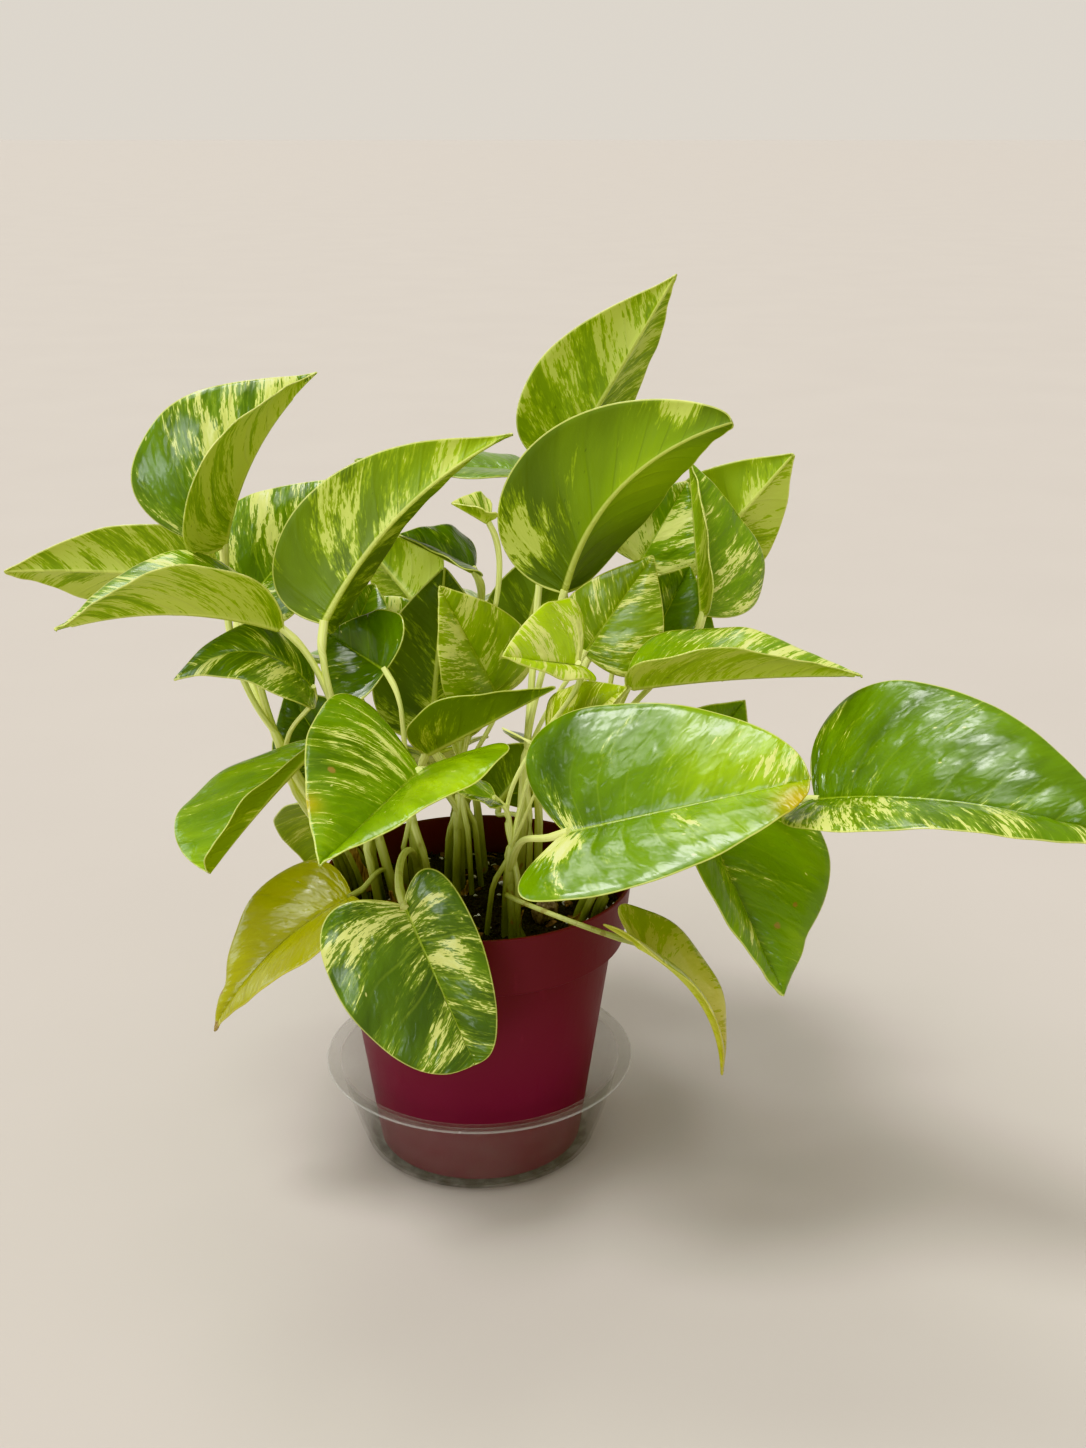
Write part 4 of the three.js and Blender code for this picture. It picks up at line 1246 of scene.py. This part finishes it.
def drilled(piece, places, radius, heights):
    """Cuts round holes through a piece with one Boolean and keeps a plain mesh."""
    points, faces = [], []
    ring = [2 * math.pi * k / DRILL_SIDES for k in range(DRILL_SIDES)]
    for x, y in places:
        first = len(points)
        for z in heights:
            points += [(x + radius * math.cos(a), y + radius * math.sin(a), z) for a in ring]
        under = [first + k for k in range(DRILL_SIDES)]
        over = [k + DRILL_SIDES for k in under]
        faces += [tuple(under[::-1]), tuple(over)]
        faces += zip(under, under[1:] + under[:1], over[1:] + over[:1], over)
    drills = linked("drills", new_mesh("drills", points, faces, smooth=False))
    cut = piece.modifiers.new("drain", "BOOLEAN")
    cut.operation = "DIFFERENCE"
    cut.object = drills
    apply_modifier(piece, cut)
    bpy.data.objects.remove(drills)


pot = new_piece("pot_shell", turned("pot", softened(POT_OUTLINE, POT_ROUNDING)), pot_finish())
turns = [2 * math.pi * (i + 0.5) / DRAIN_HOLES for i in range(DRAIN_HOLES)]
middles = [(DRAIN_RING * math.cos(a), DRAIN_RING * math.sin(a)) for a in turns]
drilled(pot, middles, DRAIN_RADIUS, DRILL_Z)
show(pot, "pot", "pot")
print("pot with", DRAIN_HOLES, "drain holes,", len(pot.data.polygons), "faces")

# %% [markdown]
# The saucer is clear plastic gone grey with lime and dust. Glass would need long light paths to
# show what is behind it, so the plastic is a glossy shader with an alpha instead: nearly clear in
# the wall, cloudier near the bottom, where dirty water has dried on it.

# %% Saucer
SAUCER_OUTLINE = [
    (0, 0), (46, 0), (50, 3), (54, 14), (58, 27), (60.7, 38.9), (66.3, 38.9), (66.3, 40),
    (59.9, 40), (56.9, 27), (52.9, 14), (49, 4), (45.5, 1.1), (43, 1.1), (42.5, 2.5), (41.5, 2.5),
    (41, 1.1), (0, 1.1),
]
SAUCER_ROUNDING = 0.9


def saucer_finish():
    nodes, finish = new_material("clear_plastic", IOR=1.46)
    place = nodes.object_place()
    parts = nodes.parts(place)
    height = parts["Z"]
    out = nodes.away(parts)
    cloud = nodes.noise(place, 60.0, detail=4, roughness=0.6)
    low = 1 - nodes.step(height + cloud * 0.012, 0.004, 0.016)
    # Painted highlights: two thin pale, less clear lines on the rim, at its outer lip and its inner
    # edge.
    rim = nodes.step(height, 0.0375, 0.0388)
    outer_lip_highlight = 1 - nodes.step(abs(out - 0.0661), 0.0002, 0.0006)
    inner_edge_highlight = 1 - nodes.step(abs(out - 0.0603), 0.0002, 0.0006)
    line = rim * nodes.math("MAXIMUM", outer_lip_highlight, inner_edge_highlight)
    dirt = low * nodes.step(nodes.noise(place, 150.0, detail=4, roughness=0.65), 0.42, 0.6)
    base = nodes.layered(colour(122, 120, 110), [
        (cloud, colour(168, 166, 156)),
        (dirt * 0.75, colour(60, 56, 42)),
        (line, colour(226, 228, 222)),
    ])
    specks = nodes.step(nodes.noise(place, 420.0, detail=2), 0.63, 0.7)
    alpha = 0.12 + cloud * 0.08 + low * 0.03 + dirt * 0.2 + specks * 0.03 + line * 0.14
    gloss = 0.1 + cloud * 0.1 + low * 0.2
    return finish(Base_Color=base, Roughness=gloss, Alpha=alpha)


saucer_mesh = turned("saucer", softened(SAUCER_OUTLINE, SAUCER_ROUNDING))
saucer = new_piece("clear_saucer", saucer_mesh, saucer_finish())
show(saucer, "saucer", "saucer")
print("saucer", len(saucer.data.polygons), "faces")

# %% [markdown]
# ## Soil
#
# Potting mix is near black when damp: peat crumbs, some bark and white grains of perlite. One lumpy
# bed fills the pot. Crumbs, perlite and bark chips are scattered over its top by Geometry Nodes,
# because hundreds of small grains by hand would never look even. Each grain is a ball of a few
# faces that noise pushes out of shape.

# %% The bed
MOUND = [(0, 112), (21.3, 111.2), (42.7, 110), (59, 108.5), (60.98, 107)]
BED_SIDE = [(60.98, 107), (60.1, 99.9), (55.4, 98.3), (41.8, 6.9), (0, 6.9)]
BED_RINGS = 40
BED_EDGE = 60.5
BED_RIM = 60.9
LUMPS_ABOVE_Z = 106.5
GROUND_REACH = 58.5
WAVES = [
    (0.31, 0.17, 0.9), (0.13, -0.29, 0.8), (-0.47, 0.41, 0.45), (0.83, 0.61, 0.3),
    (0.71, -0.97, 0.25),
]


def mound(radius):
    return float(np.interp(radius, *np.array(MOUND).T))


def lumps(x, y):
    """A rough height for the soil's top at a place, in mm."""
    return sum(size * math.sin(a * x + b * y + 2 * i) for i, (a, b, size) in enumerate(WAVES))


def bed_mesh():
    """The bed: rings over the mound from the middle out, then down the pot's inside."""
    outline = [(r, mound(r)) for r in np.linspace(0, BED_RIM, BED_RINGS)] + BED_SIDE
    mesh = turned("soil", outline[::-1])
    for vertex in mesh.vertices:
        x, y, z = vertex.co / MM
        r = math.hypot(x, y)
        if z > LUMPS_ABOVE_Z and r < BED_EDGE:
            vertex.co.z += lumps(x, y) * MM * min(1, (BED_EDGE - r) / 4)
    return mesh


def soil_finish():
    nodes, finish = new_material("potting_soil")
    place = nodes.object_place()
    clump = nodes.noise(place, 260.0, detail=5, roughness=0.65)
    base = nodes.blend(clump, colour(9, 7, 6), colour(36, 27, 21))
    return finish(Base_Color=base, Roughness=0.78 + clump * 0.2, Normal=nodes.bump(clump, 2.0))


def grain_finish(name, dark, light, roughness):
    nodes, finish = new_material(name)
    place = nodes.object_place()
    mottle = nodes.noise(place, 420.0, detail=4)
    base = nodes.blend(nodes.step(mottle, 0.3, 0.7), dark, light)
    gloss = roughness + mottle * 0.1
    return finish(Base_Color=base, Roughness=gloss, Normal=nodes.bump(mottle, 0.5))


bed = new_piece("soil_bed", bed_mesh(), soil_finish())
show(bed, "soil", "soil")

# %% Grains scattered by Geometry Nodes
def scatter_tree():
    inputs = {
        "Density": ("Float", 1000.0), "Seed": ("Int", 1), "Small": ("Vector", None),
        "Large": ("Vector", None), "Rough": ("Float", 0.5), "Steps": ("Int", 2),
        "Material": ("Material", None),
    }
    tree, nodes, given = new_growth("scattered_grains", inputs)
    spread = {"Mesh": given["Geometry"], "Density": given["Density"], "Seed": given["Seed"]}
    points = nodes.geometry("DistributePointsOnFaces", spread)
    vectors = {"data_type": "FLOAT_VECTOR"}
    size = nodes.node("FunctionNodeRandomValue", vectors,
                      {0: given["Small"], 1: given["Large"], "Seed": given["Seed"]})
    turn = nodes.node("FunctionNodeRandomValue", vectors,
                      {0: (0, 0, 0), 1: (0.7, 0.7, math.tau), "Seed": 9})
    ball = nodes.geometry("MeshIcoSphere", {"Radius": 0.5 * MM, "Subdivisions": given["Steps"]})
    grains = {"Points": points, "Instance": ball, "Rotation": turn, "Scale": size}
    grains = nodes.geometry("RealizeInstances", {0: nodes.geometry("InstanceOnPoints", grains)})
    push = nodes.noise(nodes.geometry("InputPosition"), 900.0, detail=1) - 0.5
    offset = nodes.times(nodes.geometry("InputNormal"), push * given["Rough"] * MM)
    grains = nodes.geometry("SetPosition", {"Geometry": grains, "Offset": offset})
    end_tree(nodes, grains, given["Material"])
    return tree


def soil_top():
    """An open patch of the bed's top, as the ground for the grains."""
    rings, sides = 16, 48
    points, faces = [(0, 0, mound(0) + lumps(0, 0))], []
    for i in range(1, rings + 1):
        r = GROUND_REACH * i / rings
        for k in range(sides):
            x, y = r * math.cos(math.tau * k / sides), r * math.sin(math.tau * k / sides)
            points.append((x, y, mound(r) + lumps(x, y)))
    for k in range(sides):
        n = (k + 1) % sides
        faces.append((0, 1 + k, 1 + n))
        for a in range(1, 1 + (rings - 1) * sides, sides):
            faces.append((a + k, a + sides + k, a + sides + n, a + n))
    return new_mesh("soil_top", points, faces, smooth=False)


SCATTER = scatter_tree()
GRAINS = {
    "peat_crumbs": (170000.0, 3, (0.9, 0.9, 0.7), (3.2, 2.8, 2.1), 1.0, 1,
                    grain_finish("peat", colour(9, 7, 6), colour(36, 26, 18), 0.85)),
    "perlite": (8200.0, 5, (1.0, 1.0, 0.9), (3.8, 3.2, 2.8), 1.5, 2,
                grain_finish("perlite", colour(186, 184, 176), colour(236, 234, 228), 0.75)),
    "bark_chips": (6500.0, 8, (3.0, 1.6, 1.0), (9.0, 4.5, 2.6), 1.4, 2,
                   grain_finish("bark", colour(58, 40, 28), colour(146, 116, 88), 0.8)),
}
for name, (density, seed, small, large, rough, steps, material) in GRAINS.items():
    piece = grow(SCATTER, name, soil_top(), density=density, seed=seed, small=small, large=large,
                 rough=rough, steps=steps, material=material)
    show(piece, "soil")
    print(name, len(piece.data.polygons), "faces")

# %% [markdown]
# One chunk of bark is larger than the rest and lies in the gap right of the middle. It is a ball
# flattened and broken by waves of a few sizes.

# %% Bark chunk
def chunk_mesh(name, middle, half_size, turn):
    """A lumpy solid: a ball pushed in and out by waves, then scaled and turned."""
    rings = 20
    arc = [math.pi * i / rings for i in range(rings + 1)]
    mesh = turned(name, [(math.sin(a), -math.cos(a)) for a in arc])
    for vertex in mesh.vertices:
        x, y, z = vertex.co / MM
        push = 1 + 0.13 * math.sin(5 * x + 3 * z) + 0.09 * math.sin(9 * y - 6 * z + 1)
        push += 0.05 * math.sin(21 * x + 17 * y)
        spot = Vector((x * half_size[0], y * half_size[1], z * half_size[2])) * push
        spot.rotate(Euler(turn))
        vertex.co = (spot + Vector(middle)) * MM
    mesh.update()
    return mesh


CHUNK_MIDDLE = (29, -15, 114)
CHUNK_HALF_SIZE = (5.2, 4.4, 6)
CHUNK_TURN = (0.2, 0.3, 0.7)
chunk = new_piece("bark_chunk", chunk_mesh("chunk", CHUNK_MIDDLE, CHUNK_HALF_SIZE, CHUNK_TURN),
                  grain_finish("bark_chunk", colour(74, 58, 44), colour(178, 160, 132), 0.8))
show(chunk, "soil")
print("bark chunk", len(chunk.data.polygons), "faces")

# %% [markdown]
